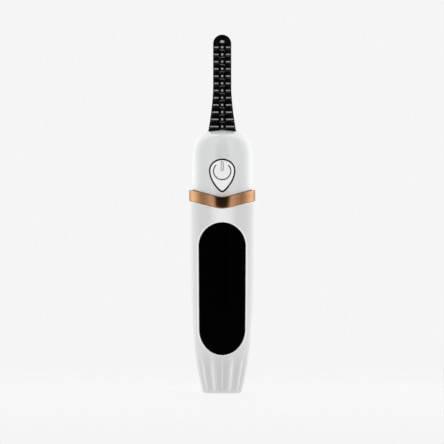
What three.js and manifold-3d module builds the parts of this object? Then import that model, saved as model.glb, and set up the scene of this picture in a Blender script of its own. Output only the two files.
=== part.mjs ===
// A rechargeable heated eyelash curler: a slim handle with a display window, a ring-trimmed head with
// a teardrop power key, and a curved heated comb. Millimetres, +Z up. The window, the key and the
// comb's fins face -Y, and the origin is the centre of the flat foot.
import * as THREE from "three";
import { mergeVertices } from "three/addons/utils/BufferGeometryUtils.js";
import Module from "manifold-3d";

const wasm = await Module();
wasm.setup();

// ---- Driving dimensions -------------------------------------------------------------------------

const body = {
  footHalfWidth: 6.9, // half-width of the handle at its flat foot
  bellyGrowth: 4.5, // how much the half-width grows from foot to mouth, most of it near the foot
  draft: 0.4, // extra half-width gained evenly over the handle's height
  handleHeight: 69, // height of the handle's mouth at its sides
  squareness: 2.3, // exponent of the rounded-square section; 2 is an ellipse
  wall: 1.5,
  floor: 1.7,
  footChamfer: 0.5,
  segments: 48, // three to a flute
  innerSegments: 24,
};
const flutes = { count: 16, depth: 0.35, fade: 9, top: 16.5 };
const joint = { dip: 2.5, dipRound: 0.16, ringHeight: 4.1, ringProud: 0.12, gap: 0.1 };
const head = {
  setback: 1.05, // step in from the handle's mouth to the head's skin
  sideHeight: 11.7, // from the ring to where the dome starts
  domeRise: 9.7,
  domePower: 2.5,
  spigotWall: 1.35,
  spigotDepth: 5.4,
  segments: 36,
};
const pane = {
  topGap: 7.4, // from the handle's mouth down to the top of the lens
  halfWidth: 8.3,
  bottom: 13.7,
  bottomHalfWidth: 8.05,
  bottomRise: 9.7,
  thickness: 1.2,
  bed: 0.25, // adhesive gap under the lens
  ledge: 1.25, // wall left under the lens bed
  ledgeWidth: 1.6,
  fit: 0.12,
};
const key = {
  halfWidth: 4.45,
  height: 11.6,
  widestRise: 7.5, // from the tip up to the widest point
  tipGap: 1.8, // from the ring's dip up to the tip
  proud: 0.2,
  fit: 0.1,
  sealWidth: 0.3,
  sealSunk: 0.25,
  lip: 0.9,
  lipThickness: 0.6,
};
const comb = {
  sunk: 0.6, // how far below the head's top the tongue's root lies
  length: 35,
  halfWidth: 3.28,
  baseFlare: 1.76,
  flareLength: 15.5,
  flarePower: 1.5,
  frontThickness: 1.6,
  backThickness: 1.9,
  baseThicken: 0.5,
  split: 0.15, // half the gap between the front and the back shell
  rootY: -1.4,
  lean: 0.22, // slope of the tongue's centre line where it leaves the head
  curl: 0.135, // how much of that slope the curve takes back
  rootLength: 9.9, // how far the tongue reaches down into the head
  slot: 1.3,
  slotEnd: 2.1, // from the end of the slot to the tip
};
const rows = { firstRise: 1.8, pitch: 2.6, topGap: 1.0, finThickness: 0.62, finHeight: 1.9, edge: 0.12 };
const rail = { halfWidth: 1.05, front: 1.0, back: 0.1, pinRadius: 0.4, pinBase: 0.46, pinRise: 1.9 };
const wire = { radius: 0.18, sideReach: 0.92, lift: 0.3, drop: 1.0 };
const display = {
  halfWidth: 5.3,
  height: 26.5,
  aboveBoard: 4, // from the board's lower edge up to the display
  rise: 11.3, // from the lens's lower edge up to where its depth sets the display's
  glass: 0.95,
  light: 1.0,
  clearance: 0.35,
};
const board = { halfWidth: 5.6, rise: 5.3, aboveHeadSide: 1.1, thickness: 1.0 };
const cell = { radius: 5.0, length: 43, nubRadius: 2.2, nubHeight: 1.0, boardGap: 0.5, plateGap: 0.5, stack: 5.6 };
const frame = {
  railWall: 1.1,
  railReach: 1.7, // how far the rails reach behind the cell's axis
  cellGap: 0.5,
  flangeThickness: 1.6,
  plateThickness: 1.6,
  clearance: 0.3,
};
const usb = { halfWidth: 4.47, halfDepth: 1.58, wall: 0.3, mouth: 0.5, length: 7.3, holeFit: 0.28 };
const charger = { halfWidth: 4.0, front: 1.9, thickness: 1.0, bottom: 2.6, top: 13.1 };
const ear = { height: 2.3, screwY: -1.2, recessGap: 0.26, screwInset: 1.2, rim: 1.3 };
const screw = { shank: 0.75, head: 1.4, headHeight: 0.8, holeFit: 0.1, sides: 10 };
const lead = { radius: 0.35, sides: 6, touch: 0.05 };

const reach = 60; // longer than any cut needs

// ---- Heights and depths that follow from them ---------------------------------------------------

/** The handle's half-width at height z: a belly that closes quickly near the foot, plus a little draft. */
function handleHalfWidth(z) {
  const t = Math.min(1, Math.max(0, z / body.handleHeight));
  return body.footHalfWidth + body.bellyGrowth * (1 - (1 - t) ** 4) + body.draft * t;
}

const mouthHalf = handleHalfWidth(body.handleHeight);
// The half-depth is less than the half-width by this: the body is as deep as its cell and boards need.
const depthLess = mouthHalf - (cell.radius + cell.stack);

/** The half-depth that goes with a half-width; near the axis both shrink together. */
const halfDepth = (halfWidth) => halfWidth - depthLess * Math.min(1, halfWidth / 5);

const shoulder = body.handleHeight + joint.gap + joint.ringHeight;
const headHalf = mouthHalf - head.setback;
const domeBase = shoulder + head.sideHeight;
const domeTop = domeBase + head.domeRise;
const keyTip = shoulder - joint.dip + key.tipGap;
const keyWidest = keyTip + key.widestRise;
const paneTop = body.handleHeight - pane.topGap;

const combBase = domeTop - comb.sunk;
const combTip = combBase + comb.length;
const flareTop = combBase + comb.flareLength;
const rootBottom = combBase - comb.rootLength;
const slotTop = combTip - comb.slotEnd;
const firstRow = combBase + rows.firstRise;
const rowCount = 1 + Math.floor((slotTop - rows.topGap - firstRow) / rows.pitch);

/** The Y of the lens's back face at a given x and height. */
function lensBackY(x, z) {
  const half = handleHalfWidth(z) - pane.thickness;
  const share = 1 - Math.min(1, Math.abs(x) / half) ** body.squareness;
  return -halfDepth(half) * share ** (1 / body.squareness);
}
const lensBehind = lensBackY(display.halfWidth, pane.bottom + display.rise);
const displayStack = display.clearance + display.glass + display.light + 2 * lead.touch;
const boardFront = lensBehind + displayStack;
const boardBack = boardFront + board.thickness;
const boardTop = domeBase + board.aboveHeadSide;

const cellY = boardBack + cell.boardGap + cell.radius;
/** The lowest height at which the handle's cavity reaches this far back from the axis. */
function cavityHeight(depth) {
  let [low, high] = [0, body.handleHeight];
  while (high - low > 0.01) {
    const middle = (low + high) / 2;
    if (halfDepth(handleHalfWidth(middle) - body.wall) < depth) low = middle;
    else high = middle;
  }
  return high;
}
const cellBottom = Math.max(
  charger.top + frame.plateThickness + 2 * cell.plateGap,
  cavityHeight(cellY + cell.radius + 1.5 * frame.clearance),
);
const plateTop = cellBottom - cell.plateGap;
const plateBottom = plateTop - frame.plateThickness;
const boardBottom = cellBottom + board.rise;
const displayBottom = boardBottom + display.aboveBoard;
const displayTop = displayBottom + display.height;
const cellTop = cellBottom + cell.length;
const cellEnd = cellTop + cell.nubHeight;
const flangeBottom = cellEnd + 0.9;
const flangeTop = flangeBottom + frame.flangeThickness;
const railInner = cell.radius + frame.cellGap;
const railOuter = railInner + frame.railWall;

// ---- Materials ----------------------------------------------------------------------------------

const material = (color, roughness, metalness = 0) =>
  new THREE.MeshStandardMaterial({ color, roughness, metalness });
const finish = {
  whiteGloss: material(0xeef0ee, 0.22),
  roseGold: material(0xb8794f, 0.28, 1),
  blackGlass: material(0x040404, 0.08),
  heatBlack: material(0x11120f, 0.42),
  rubber: material(0x0b0b0b, 0.6),
  ceramic: material(0x8f9391, 0.45),
  wire: material(0xa8aaa6, 0.3, 1),
  circuit: material(0x1f5a38, 0.5),
  chip: material(0x17181a, 0.5),
  frame: material(0xd9d9d4, 0.5),
  steel: material(0xb4b6b8, 0.3, 1),
  cell: material(0x3b6ea8, 0.4),
  redLead: material(0xa3221c, 0.5),
  blackLead: material(0x18181a, 0.5),
  whiteLead: material(0xd8d5cc, 0.5),
  foam: material(0x2b2c2e, 0.9),
  liquidCrystal: material(0x27302d, 0.12),
};

// ---- Geometry helpers ---------------------------------------------------------------------------

/** Turns a closed three.js geometry into a solid, dropping triangles that collapsed at a pole or seam. */
function solid(geometry) {
  const bare = geometry.index ? geometry.toNonIndexed() : geometry.clone();
  bare.deleteAttribute("normal");
  bare.deleteAttribute("uv");
  const merged = mergeVertices(bare, 1e-4);
  const index = merged.index.array;
  const kept = [];
  for (let i = 0; i < index.length; i += 3) {
    const [a, b, c] = [index[i], index[i + 1], index[i + 2]];
    if (a !== b && b !== c && a !== c) kept.push(a, b, c);
  }
  return new wasm.Manifold(
    new wasm.Mesh({
      numProp: 3,
      vertProperties: merged.attributes.position.array,
      triVerts: new Uint32Array(kept),
    }),
  );
}

/** Turns a solid back into a three.js geometry. */
function geometryOf(shape) {
  const mesh = shape.getMesh();
  const geometry = new THREE.BufferGeometry();
  geometry.setAttribute("position", new THREE.BufferAttribute(new Float32Array(mesh.vertProperties), 3));
  geometry.setIndex(new THREE.BufferAttribute(new Uint32Array(mesh.triVerts), 1));
  return geometry;
}

/** Moves every vertex of a geometry by place(vertex), which changes the vector it is given. */
function reshape(geometry, place) {
  const position = geometry.attributes.position;
  const v = new THREE.Vector3();
  for (let i = 0; i < position.count; i++) {
    v.fromBufferAttribute(position, i);
    place(v);
    position.setXYZ(i, v.x, v.y, v.z);
  }
  return geometry;
}

const smoothstep = (a, b, t) => THREE.MathUtils.smoothstep(t, a, b);
const union = (...shapes) => shapes.reduce((all, shape) => all.add(shape));

/** A solid of revolution about Z. The profile is a list of [radius, height], running outside upwards. */
function turned(profile, segments = screw.sides) {
  const points = profile.map(([r, h]) => new THREE.Vector2(r, h));
  return new THREE.LatheGeometry(points, segments).rotateX(Math.PI / 2);
}

/** How far the ring joint dips at angle phi from the front: all of it at front and back, none at a side. */
function jointDip(phi) {
  const side = Math.abs(Math.sin(phi)) ** (2 / body.squareness);
  const rounded = Math.hypot(side, joint.dipRound);
  const full = Math.hypot(1, joint.dipRound);
  return (joint.dip * (full - rounded)) / (full - joint.dipRound);
}

/**
 * A body of rounded-square section. The profile lists [half-width, height]. dipped(height) is the share of
 * the ring joint's dip at that height, and scallop(height) is the depth of the flutes there.
 */
function squared(profile, segments, dipped = () => 0, scallop = () => 0) {
  const power = 2 / body.squareness;
  return solid(
    reshape(turned(profile, segments), (v) => {
      const phi = Math.atan2(v.x, -v.y);
      const flute = scallop(v.z) * Math.abs(Math.sin((flutes.count * phi) / 2));
      const r = Math.hypot(v.x, v.y) - flute;
      v.x = r * Math.sign(Math.sin(phi)) * Math.abs(Math.sin(phi)) ** power;
      v.y = -halfDepth(r) * Math.sign(Math.cos(phi)) * Math.abs(Math.cos(phi)) ** power;
      v.z -= dipped(v.z) * jointDip(phi);
    }),
  );
}

/** A box from its lowest to its highest corner, cut into steps along Z. */
function block([x0, y0, z0], [x1, y1, z1], steps = 1) {
  const geometry = new THREE.BoxGeometry(x1 - x0, y1 - y0, z1 - z0, 1, 1, steps);
  return geometry.translate((x0 + x1) / 2, (y0 + y1) / 2, (z0 + z1) / 2);
}
const box = (low, high) => solid(block(low, high));

/** A closed outline's points, moved outwards by distance. The outline runs anticlockwise. */
function grown(points, distance) {
  return points.map((p, i) => {
    const before = points[(i + points.length - 1) % points.length];
    const after = points[(i + 1) % points.length];
    const e0 = p.clone().sub(before).normalize();
    const e1 = after.clone().sub(p).normalize();
    const normal = new THREE.Vector2(e0.y + e1.y, -e0.x - e1.x).normalize();
    const miter = distance / Math.sqrt((1 + e0.dot(e1)) / 2);
    return p.clone().addScaledVector(normal, miter);
  });
}

/** An outline drawn in X and Z, extruded along Y from yFront to yBack. */
function pushedBack(points, yFront, yBack) {
  const shape = new THREE.Shape(points);
  const geometry = new THREE.ExtrudeGeometry(shape, { depth: yBack - yFront, bevelEnabled: false });
  return solid(geometry.rotateX(Math.PI / 2).translate(0, yBack, 0));
}

/** A rounded slot outline in X and Y, extruded up from z0 to z1. */
function slotPrism(halfWidth, halfHeight, z0, z1, hole = 0) {
  const outline = (shape, w, h) => {
    shape.absarc(w - h, 0, h, -Math.PI / 2, Math.PI / 2);
    shape.absarc(h - w, 0, h, Math.PI / 2, (3 * Math.PI) / 2);
    return shape;
  };
  const shape = outline(new THREE.Shape(), halfWidth, halfHeight);
  if (hole > 0) shape.holes.push(outline(new THREE.Path(), halfWidth - hole, halfHeight - hole));
  const options = { depth: z1 - z0, bevelEnabled: false, curveSegments: 5 };
  return solid(new THREE.ExtrudeGeometry(shape, options).translate(0, 0, z0));
}

/** A round tube along a smooth curve through the given points. */
function tube(points, radius, steps, sides = lead.sides, tension = 0.5) {
  const path = new THREE.CatmullRomCurve3(
    points.map((p) => new THREE.Vector3(...p)),
    false,
    "catmullrom",
    tension,
  );
  const ring = Array.from({ length: sides }, (_, i) => {
    const a = (2 * Math.PI * i) / sides;
    return new THREE.Vector2(radius * Math.cos(a), radius * Math.sin(a));
  });
  const shape = new THREE.Shape(ring);
  return solid(new THREE.ExtrudeGeometry(shape, { steps, extrudePath: path, bevelEnabled: false }));
}

const whole = new THREE.Group();

/** Adds one named piece to the object. */
function piece(name, shape, look) {
  const mesh = new THREE.Mesh(geometryOf(shape), look);
  mesh.name = name;
  whole.add(mesh);
  return mesh;
}

// ---- The handle and the head as outer skins and inner cores -------------------------------------

const handleDip = (z) => smoothstep(body.handleHeight - 4, body.handleHeight, z);
const headDip = (z) =>
  smoothstep(shoulder - 6, shoulder - 2.2, z) * (1 - smoothstep(shoulder, shoulder + 4, z));

/** The handle's outer skin, sunk by the given depth, from z0 to its mouth. */
function handleSkin(sunk, z0, flute = false) {
  const top = body.handleHeight;
  const levels = [3, 6.5, 11, flutes.top, 24, 36, 54, top - 4].filter((z) => z > z0 + 1);
  const side = levels.map((z) => [handleHalfWidth(z) - sunk, z]);
  const foot = [handleHalfWidth(z0) - sunk, z0];
  const corner = sunk === 0 ? [[foot[0] - body.footChamfer, z0], [handleHalfWidth(0.6), 0.6]] : [foot];
  const faded = (z) => smoothstep(0, 0.6, z) * (1 - smoothstep(flutes.fade, flutes.top, z));
  const depth = (z) => (flute ? flutes.depth * faded(z) : 0);
  const profile = [[0, z0], ...corner, ...side, [handleHalfWidth(top) - sunk, top], [0, top]];
  return squared(profile, body.segments, handleDip, depth);
}

/** The handle's cavity, its wall being sunk deep; it runs out through the mouth. */
function handleCore(sunk) {
  const top = body.handleHeight;
  const levels = [body.floor, 6.5, 14, 26, 45];
  const side = levels.map((z) => [handleHalfWidth(z) - sunk, z]);
  const mouth = handleHalfWidth(top) - sunk;
  return squared([[0, body.floor], ...side, [mouth, top + 5], [0, top + 5]], body.innerSegments);
}

/** The dome's half-width at height z, for a head whose skin is sunk by the given depth. */
function domeProfile(sunk) {
  const rise = head.domeRise - sunk;
  const half = headHalf - sunk;
  return [0.25, 0.45, 0.65, 0.8, 0.91, 0.98].map((t) => [
    half * (1 - t ** head.domePower) ** (1 / head.domePower),
    domeBase + rise * t,
  ]);
}

/** The head's outer skin above the ring, sunk by the given depth (a negative depth stands proud). */
function headSkin(sunk) {
  const half = headHalf - sunk;
  const apex = domeTop - sunk;
  const side = [[half, shoulder], [half, shoulder + 4], [half, domeBase], ...domeProfile(sunk)];
  return squared([[0, shoulder], ...side, [0, apex]], head.segments, headDip);
}

/** The head's cavity, sunk by the given depth, open downwards through the whole joint. */
function headCore(sunk) {
  const half = headHalf - sunk;
  const apex = domeTop - sunk;
  const low = shoulder - 20;
  const side = [[half, low], [half, domeBase], ...domeProfile(sunk)];
  return squared([[0, low], ...side, [0, apex]], body.innerSegments);
}

// ---- Outlines of the window and the key ---------------------------------------------------------

/** The lens outline: a round top, slightly tapering sides and a longer elliptical bottom. */
function paneOutline() {
  const shape = new THREE.Shape();
  const { halfWidth, bottom, bottomHalfWidth, bottomRise } = pane;
  shape.absarc(0, paneTop - halfWidth, halfWidth, 0, Math.PI);
  shape.absellipse(0, bottom + bottomRise, bottomHalfWidth, bottomRise, Math.PI, 2 * Math.PI);
  return shape.getPoints(12).slice(0, -1);
}

/** The key outline: a teardrop, round above and drawn to a small round tip below. */
function keyOutline() {
  const w = key.halfWidth;
  const [tip, widest, top] = [keyTip, keyWidest, keyTip + key.height];
  const round = 0.5523; // control length of a quarter circle
  const drop = key.widestRise;
  const right = [
    [0, tip, 0.055 * w, tip, 0.1 * w, tip + 0.011 * drop, 0.165 * w, tip + 0.047 * drop],
    [0.165 * w, tip + 0.047 * drop, 0.53 * w, tip + 0.235 * drop, w, widest - 0.38 * drop, w, widest],
    [w, widest, w, widest + round * (top - widest), round * w, top, 0, top],
  ];
  const shape = new THREE.Shape();
  shape.moveTo(0, tip);
  for (const [, , ...rest] of right) shape.bezierCurveTo(...rest);
  for (const [x0, z0, x1, z1, x2, z2] of [...right].reverse()) {
    shape.bezierCurveTo(-x2, z2, -x1, z1, -x0, z0);
  }
  return shape.getPoints(6).slice(0, -1);
}

const outlineOfPane = paneOutline();
const outlineOfKey = keyOutline();
const paneCut = (grow) => pushedBack(grown(outlineOfPane, grow), -reach, 0);
const keyCut = (grow) => pushedBack(grown(outlineOfKey, grow), -reach, 0);

// ---- Housings, ring, lens and key ---------------------------------------------------------------

function handleHousing() {
  const bedDepth = pane.thickness + pane.bed;
  const shell = handleSkin(0, 0, true).subtract(handleCore(body.wall));
  const padCore = handleCore(bedDepth + pane.ledge);
  const pad = handleSkin(0, 0).intersect(paneCut(pane.ledgeWidth)).subtract(padCore);
  const pocket = paneCut(pane.fit).subtract(handleSkin(bedDepth, body.floor));
  const port = slotPrism(usb.halfWidth + usb.holeFit, usb.halfDepth + usb.holeFit, -1, body.floor + 1);
  return shell.add(pad).subtract(pocket).subtract(paneCut(-pane.ledgeWidth)).subtract(port);
}

const displayLens = () =>
  handleSkin(0, 0).intersect(paneCut(0)).subtract(handleSkin(pane.thickness, body.floor));

const spigotHalf = mouthHalf - body.wall - frame.clearance;
const spigotBottom = body.handleHeight - head.spigotDepth;
const sealGroove = { bottom: spigotBottom + 0.8, top: spigotBottom + 2.2, depth: 0.6 };

function headHousing() {
  const half = headHalf;
  const groove = spigotHalf - sealGroove.depth;
  const outside = squared(
    [
      [0, spigotBottom],
      [spigotHalf, spigotBottom],
      [spigotHalf, sealGroove.bottom],
      [groove, sealGroove.bottom],
      [groove, sealGroove.top],
      [spigotHalf, sealGroove.top],
      [spigotHalf, shoulder],
      [half, shoulder],
      [half, shoulder + 4],
      [half, domeBase],
      ...domeProfile(0),
      [0, domeTop],
    ],
    head.segments,
    headDip,
  );
  const bore = spigotHalf - head.spigotWall;
  const inner = half - body.wall;
  const apex = domeTop - body.wall;
  const inside = squared(
    [
      [0, spigotBottom - 1],
      [bore, spigotBottom - 1],
      [bore, shoulder - 2.2],
      [inner, shoulder - 1.2],
      [inner, domeBase],
      ...domeProfile(body.wall),
      [0, apex],
    ],
    body.innerSegments,
    headDip,
  );
  const keyHole = keyCut(2 * key.fit + key.sealWidth);
  return outside.subtract(inside).subtract(keyHole).subtract(tongue(frame.clearance));
}

function trimBand() {
  const inner = spigotHalf + 2 * joint.gap;
  const outer = mouthHalf + joint.ringProud;
  const z0 = body.handleHeight + joint.gap;
  const z1 = shoulder - joint.gap;
  const crown = 0.2;
  return squared(
    [
      [inner, z1],
      [inner, z0],
      [outer - crown, z0],
      [outer, z0 + crown],
      [outer, z1 - crown],
      [outer - crown, z1],
      [inner, z1],
    ],
    head.segments,
    () => 1,
  );
}

function jointSeal() {
  const inner = spigotHalf - sealGroove.depth + joint.gap;
  const outer = handleHalfWidth(sealGroove.top) - body.wall - joint.gap;
  const [z0, z1] = [sealGroove.bottom + 0.2, sealGroove.top - 0.2];
  return squared([[inner, z1], [inner, z0], [outer, z0], [outer, z1], [inner, z1]], body.innerSegments);
}

// The depth of the key's back face under the skin.
const keyBack = body.wall + frame.clearance + key.lipThickness;

function powerButton() {
  const cap = keyCut(0).intersect(headSkin(-key.proud));
  const lip = keyCut(key.lip).intersect(headCore(body.wall + frame.clearance));
  return cap.add(lip).subtract(headCore(keyBack));
}

function buttonSeal() {
  const ring = keyCut(key.fit + key.sealWidth).subtract(keyCut(key.fit));
  return ring.intersect(headSkin(key.sealSunk)).subtract(headCore(body.wall - 0.1));
}

// ---- The switch under the key -------------------------------------------------------------------

const switchBox = {
  half: 2.25,
  height: 1.3,
  bore: 1.3,
  boreDepth: 0.9,
  plunger: 1.2,
  sunk: 0.3,
  slack: 0.15, // from the plunger to the key's back
};
const keyBackY = -(halfDepth(headHalf) - keyBack);

/** A solid turned about a Y-parallel axis at height z; profile heights run towards the front from yBack. */
function turnedForward(profile, x, yBack, z, segments) {
  return solid(turned(profile, segments).rotateX(Math.PI / 2).translate(x, yBack, z));
}

function switchBody() {
  const { half, height, bore, boreDepth } = switchBox;
  const back = boardFront - lead.touch;
  const shell = box([-half, back - height, keyWidest - half], [half, back, keyWidest + half]);
  const hole = [[0, height - boreDepth], [bore, height - boreDepth], [bore, height + 1], [0, height + 1]];
  return shell.subtract(turnedForward(hole, 0, back, keyWidest, 16));
}

function switchPlunger() {
  const { height, plunger, sunk } = switchBox;
  const back = boardFront - lead.touch - height + sunk;
  const length = back - keyBackY - switchBox.slack;
  const pin = [[0, 0], [plunger, 0], [plunger, length], [0, length]];
  return turnedForward(pin, 0, back, keyWidest, 16);
}

// ---- The comb -----------------------------------------------------------------------------------

/** The Y of the tongue's centre line at height z: straight in the head, then back and curling forward. */
function combCentre(z) {
  const length = comb.length + 1;
  const u = Math.max(0, (z - combBase + 1) / length);
  return comb.rootY + length * (comb.lean * u - comb.curl * u * u);
}

/** The tongue's half-width at height z, without its round tip. */
function combHalfWidth(z) {
  const t = Math.min(1, Math.max(0, (flareTop - z) / comb.flareLength));
  return comb.halfWidth + comb.baseFlare * t ** comb.flarePower;
}

/** How much thicker the tongue is at height z than near its tip. */
const combThicken = (z) => comb.baseThicken * ((combHalfWidth(z) - comb.halfWidth) / comb.baseFlare);

/** Lays a straight piece along the curved tongue. */
const bent = (geometry) => reshape(geometry, (v) => v.setY(v.y + combCentre(v.z)));
const bentBox = (low, high, steps = 12) => solid(bent(block(low, high, steps)));

/** The tongue as one solid slab with a round tip, grown all round by the given distance. */
function tongue(grow = 0) {
  const tipRadius = comb.halfWidth;
  const tipBase = combTip - tipRadius;
  const flare = [-0.13, 0.06, 0.26, 0.45, 0.71, 1].map((t) => combBase + t * comb.flareLength);
  const stem = [0.28, 0.56, 0.8].map((t) => flareTop + t * (tipBase - flareTop));
  const sides = [rootBottom, ...flare, ...stem].map((z) => [combHalfWidth(z) + grow, z]);
  const roundTip = [0, 28, 52, 74].map((degrees) => {
    const a = THREE.MathUtils.degToRad(degrees);
    return [(tipRadius + grow) * Math.cos(a), tipBase + (tipRadius + grow) * Math.sin(a)];
  });
  const geometry = turned([[0, rootBottom], ...sides, ...roundTip, [0, combTip + grow]], 20);
  return solid(
    bent(
      reshape(geometry, (v) => {
        const r = Math.hypot(v.x, v.y);
        if (r < 1e-9) return;
        const [s, c] = [v.x / r, v.y / r];
        const thickness = (c < 0 ? comb.frontThickness : comb.backThickness) + combThicken(v.z) + grow;
        const tipShare = Math.min(1, r / combHalfWidth(v.z)) ** 0.6;
        v.x = r * Math.sign(s) * Math.abs(s) ** 0.75;
        v.y = thickness * tipShare * Math.sign(c) * Math.abs(c) ** (c < 0 ? 0.45 : 0.7);
      }),
    ),
  );
}

const rowHeight = (i) => firstRow + rows.pitch * i;

/** One comb fin on the given side (-1 or 1) of row i, tapering to its rounded outer end. */
function fin(i, side) {
  const z = rowHeight(i);
  const inner = comb.slot;
  const outer = combHalfWidth(z) - rows.edge;
  const root = -comb.frontThickness - combThicken(z) + 0.5;
  const top = root - 0.5 - rows.finHeight;
  const profile = new THREE.Shape();
  profile.moveTo(inner, root);
  profile.lineTo(outer, root);
  profile.lineTo(outer, top + 1.0);
  profile.quadraticCurveTo(outer, top, outer - 0.9, top);
  profile.lineTo(inner + 0.35, top);
  profile.lineTo(inner, top + 0.35);
  profile.closePath();
  const geometry = new THREE.ExtrudeGeometry(profile, {
    depth: rows.finThickness,
    bevelEnabled: false,
    curveSegments: 2,
  });
  reshape(geometry.translate(0, combCentre(z), z - rows.finThickness / 2), (v) => {
    const share = (root + combCentre(z) - v.y) / (root - top);
    v.z = z + (v.z - z) * (1 - 0.35 * share);
  });
  return side > 0 ? solid(geometry) : solid(geometry).mirror([1, 0, 0]);
}

function combFront() {
  const half = tongue().intersect(bentBox([-10, -10, rootBottom - 4], [10, -comb.split, combTip + 3]));
  const slot = bentBox([-comb.slot, -10, combBase - 0.6], [comb.slot, 10, slotTop]);
  let shape = half.subtract(slot);
  for (let i = 0; i < rowCount; i++) shape = shape.add(fin(i, 1)).add(fin(i, -1));
  return shape;
}

const recessHalf = combHalfWidth(rootBottom) + ear.recessGap;
const earScrewX = recessHalf + ear.screwInset;
const earHalf = earScrewX + ear.rim;

function combBack() {
  const half = tongue().intersect(bentBox([-10, comb.split, rootBottom - 4], [10, 10, combTip + 3]));
  const channel = bentBox([-1.7, -1, rootBottom - 1], [1.7, 1.2, slotTop - 2.4]);
  const flange = box([-earHalf, -3.4, rootBottom], [earHalf, 0.9, rootBottom + ear.height]);
  const recessBack = comb.rootY + comb.split;
  const recess = box([-recessHalf, -6, rootBottom - 1], [recessHalf, recessBack, rootBottom + 6]);
  const hole = cylinderUp(screw.shank + screw.holeFit, rootBottom - 1, rootBottom + 1.6);
  let shape = half.add(flange.subtract(recess)).subtract(channel);
  for (const side of [-1, 1]) shape = shape.subtract(hole.translate([side * earScrewX, ear.screwY, 0]));
  return shape.intersect(headCore(body.wall + frame.clearance).add(tongue()));
}

function heaterRail() {
  const bottom = combBase - 0.2;
  const top = slotTop - 0.3;
  const bar = bentBox([-rail.halfWidth, -rail.front, bottom], [rail.halfWidth, -rail.back, top]);
  const pinProfile = (rise) => [
    [0, 0],
    [rail.pinBase, 0],
    [rail.pinRadius, rise * 0.7],
    [rail.pinRadius * 0.6, rise * 0.95],
    [0, rise],
  ];
  let shape = bar;
  for (let i = 0; i <= rowCount; i++) {
    const z = i < rowCount ? rowHeight(i) : top - 0.75;
    const y = combCentre(z) - rail.front + 0.3;
    const rise = 0.3 + rail.pinRise + comb.frontThickness - rail.front;
    shape = shape.add(turnedForward(pinProfile(rise), 0, y, z, 6));
  }
  return shape;
}

/** The heating wire: it zigzags along the rail and crosses it just under each pin. */
function heatingWire() {
  const y = (z) => combCentre(z) - rail.front - wire.lift;
  const points = [];
  for (let i = 0; i < rowCount; i++) {
    const side = i % 2 ? 1 : -1;
    const z = rowHeight(i) - wire.drop;
    points.push([side * wire.sideReach, y(z), z - 0.4]);
    points.push([side * (wire.sideReach - 0.2), y(z), z - 0.05]);
    points.push([-side * (wire.sideReach - 0.2), y(z), z + 0.05]);
    points.push([-side * wire.sideReach, y(z), z + 0.4]);
  }
  return tube(points, wire.radius, 7 * rowCount, 5, 0.4);
}

function heatSensor() {
  const z = combBase + 4;
  const bead = [[0, -0.8], [0.3, -0.7], [0.45, -0.3], [0.45, 0.3], [0.3, 0.7], [0, 0.8]];
  return solid(turned(bead, 8)).translate([0, combCentre(z) + 0.62, z]);
}

// ---- The bracket, frame and boards --------------------------------------------------------------

/** An upright cylinder on the Z axis. */
const cylinderUp = (radius, z0, z1, sides = screw.sides) =>
  solid(turned([[0, z0], [radius, z0], [radius, z1], [0, z1]], sides));

const mount = {
  footHalf: 5.4,
  footFront: 0.6,
  footThickness: 1.5,
  back: 5.6,
  columnFront: 3.9,
  shelf: 2.4,
  screwX: 4.0,
  screwY: 2.3,
};
const shelfTop = rootBottom - joint.gap;

function combMount() {
  const foot = flangeTop + joint.gap;
  const shelfBottom = shelfTop - mount.shelf;
  const footTop = foot + mount.footThickness;
  const base = box([-mount.footHalf, mount.footFront, foot], [mount.footHalf, mount.back, footTop]);
  const column = box([-4.4, mount.columnFront, foot], [4.4, mount.back, shelfTop]);
  const shelf = box([-earHalf, -3.2, shelfBottom], [earHalf, mount.back, shelfTop]);
  const notch = box([-2.4, -6, shelfBottom - 1], [2.4, 2.6, shelfTop + 1]);
  const combHole = cylinderUp(screw.shank + screw.holeFit, shelfBottom - 1, shelfTop + 1);
  const footHole = cylinderUp(screw.shank + screw.holeFit, foot - 1, foot + 3);
  let shape = union(base, column, shelf).subtract(notch);
  for (const side of [-1, 1]) {
    shape = shape.subtract(combHole.translate([side * earScrewX, ear.screwY, 0]));
    shape = shape.subtract(footHole.translate([side * mount.screwX, mount.screwY, 0]));
  }
  return shape.intersect(headCore(body.wall + frame.clearance));
}

/** A screw with its head at the given height and its shank running the given length below it. */
function screwProfile(length) {
  return [
    [0, -length],
    [screw.shank * 0.7, -length],
    [screw.shank, -length + 0.5],
    [screw.shank, 0],
    [screw.head, 0],
    [screw.head, screw.headHeight * 0.6],
    [screw.head * 0.7, screw.headHeight],
    [0, screw.headHeight],
  ];
}

const boardPost = { x: 3.9, half: 1.15, depth: 3.5, height: 4.2 };
const boardScrewZ = flangeTop + 2.3;

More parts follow.
